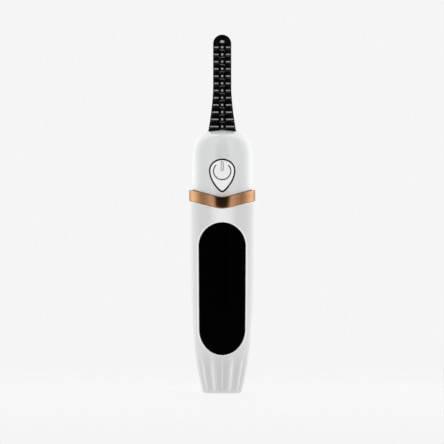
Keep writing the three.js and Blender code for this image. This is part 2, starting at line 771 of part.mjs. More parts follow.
function innerFrame() {
  const inside = handleCore(body.wall + frame.clearance);
  const behindPad = handleCore(pane.thickness + pane.bed + pane.ledge + frame.clearance);
  const front = boardBack + joint.gap;
  const pad = paneCut(pane.ledgeWidth + frame.clearance).subtract(behindPad);
  const slab = box([-reach, front, flangeBottom], [reach, reach, flangeTop]);
  const flange = slab.intersect(inside).subtract(pad);
  const plate = box([-railOuter, cellY - 2.5, plateBottom], [railOuter, cellY + 3.7, plateTop]);
  const railBack = cellY + frame.railReach;
  const rightRail = box([railInner, front, plateBottom], [railOuter, railBack, flangeBottom + 0.5]);
  const [legInner, legFront] = [charger.halfWidth + 0.25, charger.front - 0.8];
  const legLow = [legInner, legFront, charger.top - 5];
  const rightLeg = box(legLow, [legInner + 0.95, legFront + 2.2, plateTop - 0.5]);
  const rightPost = box(
    [boardPost.x - boardPost.half, front, flangeTop - 0.5],
    [boardPost.x + boardPost.half, front + boardPost.depth, flangeTop + boardPost.height],
  );
  const hole = screw.shank + screw.holeFit;
  const uprightHole = cylinderUp(hole, flangeTop - 3, flangeTop + 1);
  const mountHole = uprightHole.translate([mount.screwX, mount.screwY, 0]);
  const boardHoleProfile = [[0, 0], [hole, 0], [hole, 4], [0, 4]];
  const boardHole = turnedForward(boardHoleProfile, boardPost.x, front + 2.9, boardScrewZ, screw.sides);
  const leadNotch = box(
    [boardPost.x + boardPost.half, front - 1, flangeBottom - 1],
    [railOuter + 0.3, front + 1.6, flangeTop + 1],
  );
  const mirrored = (shape) => shape.add(shape.mirror([1, 0, 0]));
  return union(flange, mirrored(rightRail.intersect(behindPad)), plate.intersect(inside))
    .add(mirrored(rightLeg))
    .add(mirrored(rightPost))
    .subtract(mirrored(mountHole))
    .subtract(mirrored(boardHole))
    .subtract(leadNotch);
}

function mainBoard() {
  let shape = box([-board.halfWidth, boardFront, boardBottom], [board.halfWidth, boardBack, boardTop]);
  const r = screw.shank + screw.holeFit;
  for (const side of [-1, 1]) {
    const hole = [[0, -1], [r, -1], [r, 3], [0, 3]];
    shape = shape.subtract(turnedForward(hole, side * boardPost.x, boardBack, boardScrewZ, screw.sides));
  }
  return shape;
}

// ---- Cell, display and charging parts -----------------------------------------------------------

function batteryCell() {
  const { radius, nubRadius } = cell;
  const [bottom, top] = [cellBottom, cellTop];
  const profile = [
    [0, bottom],
    [radius - 0.4, bottom],
    [radius, bottom + 0.4],
    [radius, top - 2.6],
    [radius - 0.4, top - 2.2],
    [radius, top - 1.8],
    [radius, top - 0.4],
    [radius - 0.5, top],
    [nubRadius, top],
    [nubRadius, cellEnd],
    [0, cellEnd],
  ];
  return solid(turned(profile, 20)).translate([0, cellY, 0]);
}

const tabThickness = 0.2;
const lightBack = boardFront - lead.touch;
const glassBack = lightBack - display.light - lead.touch;

function displayRibbon() {
  const [glassY, boardY] = [glassBack - 0.5, boardFront - 0.12];
  const z = displayBottom - 0.08;
  const thick = 0.16;
  const section = [
    [glassY, z],
    [glassY, z - 1.3],
    [glassY + 0.9, z - 2.4],
    [boardY, z - 2.6],
    [boardY, z - 2.6 + thick],
    [glassY + 0.98, z - 2.26],
    [glassY + thick, z - 1.22],
    [glassY + thick, z],
  ];
  const shape = new THREE.Shape(section.map(([y, h]) => new THREE.Vector2(y, h)));
  const geometry = new THREE.ExtrudeGeometry(shape, { depth: 5, bevelEnabled: false });
  return solid(geometry.rotateX(Math.PI / 2).rotateZ(Math.PI / 2).translate(-2.5, 0, 0));
}

function usbTongue() {
  const back = usb.mouth + usb.length - 0.2;
  const fit = usb.wall + 0.1;
  const blockFront = back - 2.4;
  const rear = slotPrism(usb.halfWidth - fit, usb.halfDepth - fit, blockFront, back);
  return rear.add(box([-3.3, -0.35, usb.mouth + 0.8], [3.3, 0.35, blockFront + 0.5]));
}

// ---- Assembly -----------------------------------------------------------------------------------

piece("handle_housing", handleHousing(), finish.whiteGloss);
piece("head_housing", headHousing(), finish.whiteGloss);
piece("trim_band", trimBand(), finish.roseGold);
piece("joint_seal", jointSeal(), finish.rubber);
piece("display_lens", displayLens(), finish.blackGlass);
piece("power_button", powerButton(), finish.whiteGloss);
piece("button_seal", buttonSeal(), finish.rubber);
piece("switch_body", switchBody(), finish.steel);
piece("switch_plunger", switchPlunger(), finish.chip);

piece("comb_front", combFront(), finish.heatBlack);
piece("comb_back", combBack(), finish.heatBlack);
piece("heater_rail", heaterRail(), finish.ceramic);
piece("heating_wire", heatingWire(), finish.wire);
piece("heat_sensor", heatSensor(), finish.chip);
piece("comb_mount", combMount(), finish.frame);

piece("inner_frame", innerFrame(), finish.frame);
piece("main_board", mainBoard(), finish.circuit);
for (const [name, side] of [["left", -1], ["right", 1]]) {
  const upright = solid(turned(screwProfile(3.4)));
  const hanging = solid(turned(screwProfile(mount.shelf + 1.6)).rotateX(Math.PI));
  const shelfBottom = shelfTop - mount.shelf;
  const footTop = flangeTop + joint.gap + mount.footThickness;
  const combScrew = hanging.translate([side * earScrewX, ear.screwY, shelfBottom - lead.touch]);
  piece(`comb_screw_${name}`, combScrew, finish.steel);
  const mountScrew = upright.translate([side * mount.screwX, mount.screwY, footTop + lead.touch]);
  piece(`mount_screw_${name}`, mountScrew, finish.steel);
  const [screwX, screwY] = [side * boardPost.x, boardFront - lead.touch];
  const facing = turnedForward(screwProfile(3.4), screwX, screwY, boardScrewZ, screw.sides);
  piece(`board_screw_${name}`, facing, finish.steel);
}

const chipBack = boardFront - lead.touch;
const chipBottom = displayTop + 1.8;
piece("controller_chip", box([-2, chipBack - 1.4, chipBottom], [2, chipBack, chipBottom + 6]), finish.chip);
const transistorTop = keyTip - key.lip - 2.2;
piece(
  "heater_transistor",
  box([-1.6, chipBack - 0.9, transistorTop - 2.8], [1.6, chipBack, transistorTop]),
  finish.chip,
);
const [glassHalf, glassBottom, glassTop] = [display.halfWidth, displayBottom, displayTop];
piece(
  "display_backlight",
  box([-glassHalf, lightBack - display.light, glassBottom - 0.5], [glassHalf, lightBack, glassTop]),
  finish.frame,
);
piece(
  "display_glass",
  box([-glassHalf, glassBack - display.glass, glassBottom], [glassHalf, glassBack, glassTop]),
  finish.liquidCrystal,
);
piece("display_ribbon", displayRibbon(), finish.wire);

piece("battery_cell", batteryCell(), finish.cell);
piece(
  "battery_tab_positive",
  box([-2.2, cellY - 1.6, cellEnd + 0.1], [2.8, cellY + 1.6, cellEnd + 0.1 + tabThickness]),
  finish.steel,
);
piece(
  "battery_tab_negative",
  box([-1.5, boardBack + 0.1, cellBottom - 0.1 - tabThickness], [1.5, cellY + 1.6, cellBottom - 0.1]),
  finish.steel,
);
const [padFront, padThickness] = [boardBack + 0.08, cell.boardGap - 0.2];
piece(
  "battery_pad",
  box([-3.4, padFront, cellBottom + 11.3], [3.4, padFront + padThickness, cellBottom + 33.3]),
  finish.foam,
);

piece(
  "charge_board",
  box(
    [-charger.halfWidth, charger.front, charger.bottom],
    [charger.halfWidth, charger.front + charger.thickness, charger.top],
  ),
  finish.circuit,
);
const chargeBack = charger.front + charger.thickness;
piece("charge_chip", box([-1.6, chargeBack + 0.05, 9], [1.6, chargeBack + 0.95, 12]), finish.chip);
piece(
  "usb_shell",
  slotPrism(usb.halfWidth, usb.halfDepth, usb.mouth, usb.mouth + usb.length, usb.wall),
  finish.steel,
);
piece("usb_tongue", usbTongue(), finish.chip);

// ---- Leads inside the body ----------------------------------------------------------------------

const boardTouch = boardBack + lead.radius + 0.1;
const heaterTop = combBase - 0.6;
for (const [name, side] of [["left", -1], ["right", 1]]) {
  const y = comb.rootY + 0.62;
  const colour = name === "left" ? finish.redLead : finish.blackLead;
  const heater = [
    [side * 1.05, y, heaterTop],
    [side * 1.05, y, rootBottom + 1.9],
    [side * 1.3, y - 0.4, rootBottom - 3.1],
    [side * 1.9, boardTouch + 0.4, rootBottom - 7.1],
    [side * 2.2, boardTouch, rootBottom - 10.1],
  ];
  piece(`heater_lead_${name}`, tube(heater, lead.radius, 12), colour);
  const charge = [
    [side * 2.4, charger.front - lead.radius - 0.1, charger.top - 1.7],
    [side * 2.6, 0.2, charger.top - 0.7],
    [side * 2.9, boardTouch + 0.85, plateBottom + 0.6],
    [side * 3.3, boardTouch + 0.1, plateBottom + 4.4],
    [side * 3.3, boardTouch, boardBottom + 2.5],
  ];
  piece(`charge_lead_${name}`, tube(charge, lead.radius, 12), colour);
}
const sensor = [
  [0, combCentre(combBase + 2.6) + 0.55, combBase + 2.9],
  [0, comb.rootY + 0.7, combBase - 1.5],
  [0, comb.rootY + 0.5, rootBottom + 1.9],
  [0, comb.rootY + 0.2, rootBottom - 3.1],
  [0, boardTouch + 0.4, rootBottom - 8.6],
  [0, boardTouch, rootBottom - 12.1],
];
piece("sensor_cable", tube(sensor, lead.radius * 0.8, 16), finish.whiteLead);

const cornerX = Math.min(board.halfWidth, railInner) - 0.85; // the corner beside the cell, behind the board
const positive = [
  [3.2, cellY - 0.4, cellEnd + 0.1 + tabThickness / 2],
  [cornerX - 0.35, cellY - 2.1, cellEnd + 0.1],
  [cornerX + 0.05, boardTouch + 1.15, cellEnd - 1.1],
  [cornerX - 0.05, boardTouch, cellEnd - 4.2],
];
piece("battery_lead_positive", tube(positive, lead.radius, 12), finish.redLead);
const negative = [
  [-1.0, boardBack - 0.3, cellBottom - 0.1 - tabThickness / 2],
  [-2.2, boardBack - 0.8, cellBottom + 0.2],
  [-3.9, boardBack - 0.75, cellBottom + 1.7],
  [-cornerX - 0.05, boardBack - 0.1, cellBottom + 3.5],
  [-cornerX - 0.05, boardTouch, boardBottom + 0.5],
  [-cornerX, boardTouch, boardBottom + 6],
];
piece("battery_lead_negative", tube(negative, lead.radius, 12), finish.blackLead);

export default whole;
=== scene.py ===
"""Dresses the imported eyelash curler: shells, lens, key, ring and comb, their finishes, stage and lights.

Every size is in millimetres until a mesh is written, +Z is up and the window, the key and the comb face -Y.
"""

from __future__ import annotations

import logging
import math
from collections.abc import Callable, Sequence
from dataclasses import dataclass, field, replace
from enum import Enum

import bpy
import numpy as np
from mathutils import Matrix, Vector


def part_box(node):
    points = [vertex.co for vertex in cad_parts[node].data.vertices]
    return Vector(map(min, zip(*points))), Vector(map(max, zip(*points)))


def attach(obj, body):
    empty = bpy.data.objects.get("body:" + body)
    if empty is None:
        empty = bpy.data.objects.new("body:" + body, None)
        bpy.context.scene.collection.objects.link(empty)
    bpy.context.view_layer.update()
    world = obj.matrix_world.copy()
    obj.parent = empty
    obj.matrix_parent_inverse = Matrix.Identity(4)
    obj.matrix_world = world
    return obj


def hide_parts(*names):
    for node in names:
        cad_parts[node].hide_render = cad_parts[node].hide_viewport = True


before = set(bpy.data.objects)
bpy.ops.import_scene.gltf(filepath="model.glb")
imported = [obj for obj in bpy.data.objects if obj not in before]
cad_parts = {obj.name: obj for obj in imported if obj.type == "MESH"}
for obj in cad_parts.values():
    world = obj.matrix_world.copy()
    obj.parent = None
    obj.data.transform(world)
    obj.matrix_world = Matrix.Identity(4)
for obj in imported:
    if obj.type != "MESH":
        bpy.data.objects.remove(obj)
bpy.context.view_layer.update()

MM = 0.001
TURN = 2 * math.pi
Socket = bpy.types.NodeSocket
Tint = tuple[float, float, float, float]
Side = Callable[[np.ndarray], np.ndarray]
Skin = Callable[[np.ndarray, float], np.ndarray]
log = logging.getLogger("eyelash_curler")


# ---- Arrays and meshes -----------------------------------------------------------------------------


def smooth(low: float, high: float, value: np.ndarray | float) -> np.ndarray:
    """The smooth step from 0 at low to 1 at high, which may lie either way: t squared times (3 - 2t).

    Args:
        low: Where the step starts.
        high: Where it ends.
        value: What to measure.

    Returns:
        The share of the step at each value.
    """
    t = np.clip((np.asarray(value, float) - low) / (high - low), 0, 1)
    return t * t * (3 - 2 * t)


def quarter(count: int) -> np.ndarray:
    """Angles of a quarter turn in even steps, both ends included."""
    return np.linspace(0, math.pi / 2, count)


def circuit(count: int) -> np.ndarray:
    """Angles of a whole turn in even steps, its end left out."""
    return np.linspace(0, TURN, count, endpoint=False)


def signed_power(value: np.ndarray, power: float) -> np.ndarray:
    """The value's size raised to a power, with its sign kept."""
    return np.sign(value) * np.abs(value) ** power


def unit(vectors: np.ndarray) -> np.ndarray:
    """Vectors along the last axis, each divided by its length."""
    return vectors / np.linalg.norm(vectors, axis=-1, keepdims=True)


def run_length(path: np.ndarray) -> np.ndarray:
    """Length along a path at each of its points, from 0."""
    return np.concatenate([[0], np.cumsum(np.linalg.norm(np.diff(path, axis=0), axis=1))])


def arc(start: float, end: float, count: int, radii: tuple[float, float], height: float) -> np.ndarray:
    """Points (x, z) of an ellipse's arc centred on x = 0 at a height, its angles even, both ends included."""
    t = np.linspace(start, end, count)
    return np.stack([radii[0] * np.cos(t), height + radii[1] * np.sin(t)], -1)


def disc_row(psi: np.ndarray, radius: np.ndarray, z: float) -> np.ndarray:
    """One row of points at given distances from the axis, all at one height."""
    return np.stack([radius * np.sin(psi), -radius * np.cos(psi), np.full(psi.shape, z)], -1)


def fillet(radius: float, count: int) -> list[tuple[float, float]]:
    """Grow and sink of a rounded edge: radius times (1 - sin a, 1 - cos a) over a quarter turn."""
    return [(radius * (1 - math.sin(a)), radius * (1 - math.cos(a))) for a in quarter(count)]


@dataclass
class Sheet:
    """A mesh worked out as arrays: points in millimetres, and faces of four corners.

    A triangle repeats a corner. lay holds three values for each point, which a finish reads for its pattern.
    """

    points: np.ndarray
    faces: np.ndarray
    lay: np.ndarray

    @classmethod
    def grid(
        cls,
        points: np.ndarray,
        ring: bool = True,
        loop: bool = False,
        caps: tuple[bool, bool] = (False, False),
        lay: np.ndarray | None = None,
    ) -> Sheet:
        """Joins the points of a grid, or of a stack of equal grids, with faces.

        Args:
            points: Array of (rows, columns, 3), or (copies, rows, columns, 3).
            ring: Whether the last column joins the first.
            loop: Whether the last row joins the first.
            caps: Whether a fan closes the first row, and the last.
            lay: Pattern values of the same shape, or None for none.

        Returns:
            The sheet of all copies.
        """
        stack = points if points.ndim == 4 else points[None]
        copies, rows, columns = stack.shape[:3]
        places = np.zeros(stack.shape) if lay is None else np.asarray(lay, float).reshape(stack.shape)
        index = np.arange(rows * columns).reshape(rows, columns)
        index = np.vstack([index, index[:1]]) if loop else index
        index = np.hstack([index, index[:, :1]]) if ring else index
        low, high = index[:-1], index[1:]
        faces = [np.stack([low[:, :-1], low[:, 1:], high[:, 1:], high[:, :-1]], -1).reshape(-1, 4)]
        flat = stack.reshape(copies, -1, 3)
        flat_lay = places.reshape(copies, -1, 3)
        extra, extra_lay = [flat], [flat_lay]
        for wanted, row, turn in ((caps[0], 0, -1), (caps[1], rows - 1, 1)):
            if wanted:
                middle = rows * columns + len(extra) - 1
                edge = np.stack([index[row, :-1], index[row, 1:]], -1)[:, ::turn]
                centre = np.full((len(edge), 2), middle)
                faces.append(np.hstack([edge, centre]))
                extra.append(stack[:, row].mean(1, keepdims=True))
                extra_lay.append(places[:, row].min(1, keepdims=True))
        one = np.vstack(faces)
        flat, flat_lay = np.concatenate(extra, 1), np.concatenate(extra_lay, 1)
        shift = np.arange(copies)[:, None, None] * flat.shape[1]
        return cls(flat.reshape(-1, 3), (one[None] + shift).reshape(-1, 4), flat_lay.reshape(-1, 3)).outward()

    def __add__(self, other: Sheet) -> Sheet:
        """Both sheets as one, not welded."""
        faces = np.vstack([self.faces, other.faces + len(self.points)])
        return Sheet(np.vstack([self.points, other.points]), faces, np.vstack([self.lay, other.lay]))

    def outward(self) -> Sheet:
        """The sheet turned so that its volume, the sum of its corners' triple products, is positive."""
        a, b, c, d = (self.points[self.faces[:, k]] - self.points.mean(0) for k in range(4))
        volume = np.einsum("ij,ij->", a, np.cross(b, c)) + np.einsum("ij,ij->", a, np.cross(c, d))
        return self if volume >= 0 else Sheet(self.points, self.faces[:, ::-1], self.lay)

    def mirrored(self) -> Sheet:
        """The sheet's mirror image across the plane x = 0."""
        turn = np.array([-1.0, 1.0, 1.0])
        return Sheet(self.points * turn, self.faces[:, ::-1], self.lay * turn)

    def welded(self, tolerance: float = 2e-4) -> Sheet:
        """The sheet with points that share a place made one.

        Args:
            tolerance: Size in millimetres of the cells in which points are one.

        Returns:
            The welded sheet.
        """
        cells = np.round(self.points / tolerance).astype(np.int64)
        _, first, inverse = np.unique(cells, axis=0, return_index=True, return_inverse=True)
        return Sheet(self.points[first], inverse.reshape(-1)[self.faces], self.lay[first])

    def piece(self, name: str, crease: float = 42) -> bpy.types.Object:
        """Welds the sheet and writes it as an object of the scene, leaving out faces that have no area.

        Args:
            name: The object's name.
            crease: Angle in degrees above which an edge shades sharp.

        Returns:
            The new object, linked into the scene, with its place in its mesh.
        """
        sheet = self.welded()
        f = sheet.faces
        kept = np.stack([f[:, k] != f[:, k - 1] for k in range(4)], 1)
        real = (kept.sum(1) >= 3) & (f[:, 0] != f[:, 2]) & (f[:, 1] != f[:, 3])
        corners = f[real][kept[real]]
        counts = kept[real].sum(1)
        mesh = bpy.data.meshes.new(name)
        mesh.vertices.add(len(sheet.points))
        mesh.vertices.foreach_set("co", (sheet.points * MM).astype(np.float32).ravel())
        mesh.loops.add(len(corners))
        mesh.loops.foreach_set("vertex_index", corners.astype(np.int32))
        mesh.polygons.add(len(counts))
        mesh.polygons.foreach_set("loop_start", (np.cumsum(counts) - counts).astype(np.int32))
        mesh.polygons.foreach_set("use_smooth", np.ones(len(counts), bool))
        mesh.update(calc_edges=True)
        mesh.validate()
        mesh.set_sharp_from_angle(angle=math.radians(crease))
        layer = mesh.attributes.new("lay", "FLOAT_VECTOR", "POINT")
        layer.data.foreach_set("vector", (sheet.lay * MM).astype(np.float32).ravel())
        made = bpy.data.objects.new(name, mesh)
        bpy.context.scene.collection.objects.link(made)
        return made


def closed_normals(outline: np.ndarray) -> np.ndarray:
    """Outward unit normals of a closed anticlockwise outline: the turned mean of both edges' directions."""
    ahead = unit(np.roll(outline, -1, 0) - outline)
    tangent = unit(ahead + np.roll(ahead, 1, 0))
    return np.stack([tangent[:, 1], -tangent[:, 0]], -1)


def grown(outline: np.ndarray, distance: float) -> np.ndarray:
    """The closed outline moved outwards by a distance."""
    return outline + distance * closed_normals(outline)


def stationed(curve: np.ndarray, corners: Sequence[float], counts: Sequence[int]) -> np.ndarray:
    """Samples a closed curve evenly by length between given shares of its length.

    Args:
        curve: Dense points of the curve, the last one repeating the first.
        corners: Rising shares of the whole length, from 0 to 1.
        counts: How many points lie from each share up to the next.

    Returns:
        The sampled points, without a repeated end.
    """
    length = run_length(curve)
    spans = [np.linspace(a, b, n, endpoint=False) for a, b, n in zip(corners[:-1], corners[1:], counts)]
    at = np.concatenate(spans) * length[-1]
    return np.stack([np.interp(at, length, curve[:, k]) for k in range(2)], -1)


def polar_radius(outline: np.ndarray, psi: np.ndarray) -> np.ndarray:
    """Distance from the axis to a closed plan outline, at each angle psi from the front.

    Args:
        outline: Dense (x, y) points that go once round the axis.
        psi: Angles, 0 at -Y and growing towards +X.

    Returns:
        The outline's distance at each angle.
    """
    angle = np.arctan2(outline[:, 0], -outline[:, 1])
    order = np.argsort(angle)
    return np.interp(psi, angle[order], np.hypot(*outline[order].T), period=TURN)


# ---- The body's form -------------------------------------------------------------------------------


@dataclass(frozen=True)
class BodyForm:
    """The rounded-square body: its section, its belly and the dip of the joint between handle and head."""

    foot_half: float = 6.9
    belly: float = 4.5
    draft: float = 0.4
    handle_height: float = 69.0
    depth_less: float = 1.2
    squareness: float = 2.3
    wall: float = 1.5
    floor: float = 1.7
    dip: float = 2.65
    dip_round: float = 0.16
    joint_gap: float = 0.1
    ring_height: float = 4.1
    setback: float = 1.05
    side_height: float = 11.75
    dome_rise: float = 10.1
    dome_power: float = 2.5
    flute_depth: float = 0.4
    flute_count: int = 16
    flute_start: tuple[float, float] = (0.2, 1.6)
    flute_end: tuple[float, float] = (8.5, 15.8)
    # Strength of the painted highlight on the flutes' ridges.
    ridge_highlight_paint: float = 0.7

    @classmethod
    def measured(cls) -> BodyForm:
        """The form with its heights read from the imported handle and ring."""
        _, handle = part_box("handle_housing")
        ring_low, ring_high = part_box("trim_band")
        form = cls(handle_height=handle.z / MM)
        height = (ring_high.z - ring_low.z) / MM - form.dip
        return replace(form, ring_height=round(height + 2 * form.joint_gap, 3))

    @property
    def shoulder(self) -> float:
        """Height of the head's lower edge at its sides."""
        return self.handle_height + self.joint_gap + self.ring_height

    @property
    def dome_base(self) -> float:
        """Height at which the dome starts."""
        return self.shoulder + self.side_height

    @property
    def mouth_half(self) -> float:
        """Half-width of the handle's mouth."""
        return float(self.handle_half(self.handle_height))

    @property
    def head_half(self) -> float:
        """Half-width of the head."""
        return self.mouth_half - self.setback

    def handle_half(self, z: np.ndarray | float) -> np.ndarray:
        """Half-width of the handle: foot + belly (1 - (1 - t)^4) + draft t, t being the height's share."""
        t = np.clip(np.asarray(z, float) / self.handle_height, 0, 1)
        return self.foot_half + self.belly * (1 - (1 - t) ** 4) + self.draft * t

    def head_half_at(self, z: np.ndarray | float, sink: float = 0) -> np.ndarray:
        """Half-width of the head, sunk: constant, then times (1 - t^p)^(1/p) over the dome."""
        t = np.clip((np.asarray(z, float) - self.dome_base) / (self.dome_rise - sink), 0, 1)
        return (self.head_half - sink) * (1 - t**self.dome_power) ** (1 / self.dome_power)

    def dome_height(self, half: np.ndarray, sink: float = 0) -> np.ndarray:
        """Height of the dome where it has a given half-width: the inverse of head_half_at."""
        share = np.clip(half / (self.head_half - sink), 0, 1) ** self.dome_power
        return self.dome_base + (self.dome_rise - sink) * (1 - share) ** (1 / self.dome_power)

    def depth(self, half: np.ndarray | float) -> np.ndarray:
        """Half-depth that goes with a half-width."""
        return half - self.depth_less * np.minimum(1, np.asarray(half) / 5)

    def plan(self, psi: np.ndarray, half: np.ndarray | float) -> np.ndarray:
        """Point of the section at an angle from the front.

        The distance from the axis is (|sin psi / half-width|^n + |cos psi / half-depth|^n)^(-1/n).

        Args:
            psi: Angles, 0 at the front and growing towards +X.
            half: Half-widths.

        Returns:
            Array of x and y.
        """
        n = self.squareness
        s, c = np.sin(psi), np.cos(psi)
        r = (np.abs(s / half) ** n + np.abs(c / self.depth(half)) ** n) ** (-1 / n)
        return np.stack([r * s, -r * c], -1)

    def angle_at(self, x: np.ndarray, half: np.ndarray | float) -> np.ndarray:
        """Angle from the front of the point of the section's front with a given x."""
        share = np.clip(1 - np.abs(x / half) ** self.squareness, 0, 1)
        return np.arctan2(x, self.depth(half) * share ** (1 / self.squareness))

    def joint_dip(self, psi: np.ndarray, half: float) -> np.ndarray:
        """How far the joint's edges dip: linear in |x|, rounded at its turn, all of it at front and back."""
        side = np.abs(self.plan(psi, half)[..., 0]) / half
        full = math.hypot(1, self.dip_round)
        return self.dip * (full - np.hypot(side, self.dip_round)) / (full - self.dip_round)

    def flute(self, psi: np.ndarray, z: np.ndarray) -> tuple[np.ndarray, np.ndarray]:
        """The flutes' share of their full depth, |sin(count/2 times f)|^0.8 times the fade, and the fade.

        f is the arcsine of a power of |x| / half-width. The fade ends the flutes above the foot.
        """
        half = self.handle_half(z)
        share = np.clip(np.abs(self.plan(psi, half)[..., 0]) / half, 0, 1)
        f = np.arcsin(np.clip(share ** (0.7 + 0.8 * share), 0, 1))
        fade = smooth(*self.flute_start, z) * (1 - smooth(*self.flute_end, z))
        return fade * np.abs(np.sin(self.flute_count / 2 * f)) ** 0.8, fade

    def flute_marks(self, psi: np.ndarray, z: np.ndarray) -> np.ndarray:
        """Pattern values over the flutes: x is the share of painted highlight on ridges, y of painted shade
        in grooves.
        """
        groove, fade = self.flute(psi, z)
        # Painted highlight on the ridges; the groove share is painted shade.
        ridge = self.ridge_highlight_paint * (fade - groove) ** 2
        return np.stack([ridge, groove, 0 * groove], -1)

    def at(self, psi: np.ndarray, half: np.ndarray | float, z: np.ndarray | float) -> np.ndarray:
        """Points round the body, from half-widths and heights at each angle."""
        return np.concatenate([self.plan(psi, half), np.broadcast_to(z, np.shape(psi))[..., None]], -1)

    def handle_skin(
        self, psi: np.ndarray, z: np.ndarray | float, sink: float = 0, fluted: bool = False
    ) -> np.ndarray:
        """Points of the handle's skin, sunk by a depth, with the flutes cut in where asked."""
        groove = self.flute_depth * self.flute(psi, z)[0] if fluted else 0
        return self.at(psi, self.handle_half(z) - sink - groove, z)

    def head_skin(self, psi: np.ndarray, z: np.ndarray | float, sink: float = 0) -> np.ndarray:
        """Points of the head's skin, sunk by a depth."""
        return self.at(psi, self.head_half_at(z, sink), z)


def level(z: float) -> Side:
    """A side of a patch that lies at one height at every angle."""
    return lambda psi: np.full(psi.shape, z)


def border_counts(wide: int, tall: int) -> list[int]:
    """Points on a hole's five stretches: half the lower side, right, upper side, left, the other half."""
    return [wide // 2, tall, wide, tall, wide // 2]


@dataclass(frozen=True)
class Patch:
    """The unrolled skin round a hole: a border of angle and height, whose points pair with the hole's.

    The columns start under the hole and run anticlockwise: half the lower side, the right side up the back
    seam, the upper side, the left side, and the rest of the lower side.
    """

    low: Side
    high: Side
    wide: int
    tall: int

    @property
    def counts(self) -> list[int]:
        """Columns on each stretch of the border."""
        return border_counts(self.wide, self.tall)

    def border(self) -> tuple[np.ndarray, np.ndarray]:
        """Angle and height of each border point."""
        half = self.wide // 2
        right = np.linspace(0, math.pi, half, endpoint=False)
        across = np.linspace(math.pi, -math.pi, self.wide, endpoint=False)
        left = np.linspace(-math.pi, 0, half, endpoint=False)
        up = np.linspace(0, 1, self.tall, endpoint=False)
        back = np.array([math.pi])
        low, high = float(self.low(back)[0]), float(self.high(back)[0])
        psi = np.concatenate([right, np.full(self.tall, math.pi), across, np.full(self.tall, -math.pi), left])
        climb, fall = low + (high - low) * up, high - (high - low) * up
        z = np.concatenate([self.low(right), climb, self.high(across), fall, self.low(left)])
        return psi, z

    def lower_side(self) -> np.ndarray:
        """1 for the columns that end on the lower side, 0 for the others."""
        half = self.wide // 2
        return np.repeat([1, 1, 0, 1], [half, 1, 2 * self.tall + self.wide - 1, half])

    def upper_side(self) -> np.ndarray:
        """1 for the columns that end on the upper side, 0 for the others."""
        lead = self.wide // 2 + self.tall
        return np.repeat([0, 1, 0], [lead, self.wide + 1, lead - 1])

    def lower_angles(self) -> np.ndarray:
        """Angles of the lower side's points, once round with both ends."""
        half = self.wide // 2
        left = np.linspace(-math.pi, 0, half, endpoint=False)
        return np.concatenate([left, np.linspace(0, math.pi, half, endpoint=False), [math.pi]])

    def upper_angles(self) -> np.ndarray:
        """Angles of the upper side's points, once round with both ends."""
        return np.linspace(math.pi, -math.pi, self.wide + 1)

    def spread(self, hole: np.ndarray, shares: np.ndarray) -> tuple[np.ndarray, np.ndarray]:
        """Blends from the hole's edge, (1 - s) hole + s border.

        Args:
            hole: Angle and height of each hole point.
            shares: The share s of each row.

        Returns:
            Angles and heights, each of (rows, columns).
        """
        psi, z = self.border()
        s = shares[:, None]
        return (1 - s) * hole[:, 0] + s * psi, (1 - s) * hole[:, 1] + s * z


def lid(
    outline: np.ndarray,
    spine: tuple[float, float],
    edge: Sequence[tuple[float, float]],
    skin: Skin,
    rows: int,
) -> Sheet:
    """A closed plate that follows a skin, from its spine out over its edge and back along its underside.

    The face blends (1 - s) spine + s outline, the spine being a short line on x = 0.

    Args:
        outline: Closed (x, z) outline.
        spine: Lowest and highest height of the spine.
        edge: Grow and sink of each row round the edge, from the face to the underside.
        skin: Gives points for (x, z) places and a sink.
        rows: Rows on the face.

    Returns:
        The welded plate.
    """
    line = np.stack([np.zeros(len(outline)), np.clip(outline[:, 1], *spine)], -1)
    (first, face), (last, under) = edge[0], edge[-1]
    shares = np.linspace(0, 1, rows, endpoint=False) ** 0.8
    out = [skin((1 - s) * line + s * grown(outline, first), face) for s in shares]
    out += [skin(grown(outline, grow), sink) for grow, sink in edge]
    out += [skin((1 - s) * line + s * grown(outline, last), under) for s in shares[::-3]]
    return Sheet.grid(np.stack(out)).welded().outward()


# ---- Finishes --------------------------------------------------------------------------------------


class Pattern(Enum):
    """Where a finish reads its pattern from."""

    OBJECT = "Object"
    LAY = "lay"


class Tree:
    """A node tree while it is being written."""

    def __init__(self, tree: bpy.types.NodeTree) -> None:
        """Takes the tree that nodes are added to."""
        self.tree = tree

    def node(self, kind: str, inputs: dict | None = None, **settings: object) -> bpy.types.Node:
        """Adds a node.

        Args:
            kind: Node type without its ShaderNode prefix.
            inputs: Input name or number to a value, or to a socket that feeds it.
            **settings: The node's own settings.

        Returns:
            The new node.
        """
        made = self.tree.nodes.new("ShaderNode" + kind)
        for name, value in settings.items():
            setattr(made, name, value)
        for name, value in (inputs or {}).items():
            self.feed(made.inputs[name], value)
        return made

    def feed(self, socket: Socket, value: object) -> None:
        """Links a socket to another, or sets its own value."""
        if isinstance(value, Socket):
            self.tree.links.new(value, socket)
        else:
            socket.default_value = value

    def span(self, value: Socket, low: float, high: float, out: tuple[float, float] = (0, 1)) -> Socket:
        """Maps low..high to the output range, held at its ends."""
        inputs = {"Value": value, "From Min": low, "From Max": high, "To Min": out[0], "To Max": out[1]}
        return self.node("MapRange", inputs).outputs["Result"]

    def maths(self, kind: str, *values: object) -> Socket:
        """One Math node of the given operation."""
        return self.node("Math", dict(enumerate(values)), operation=kind).outputs["Value"]

    def blend(self, share: object, first: object, second: object) -> Socket:
        """Mixes two colours, from the first at share 0 to the second at 1."""
        return self.node("Mix", {0: share, 6: first, 7: second}, data_type="RGBA").outputs[2]


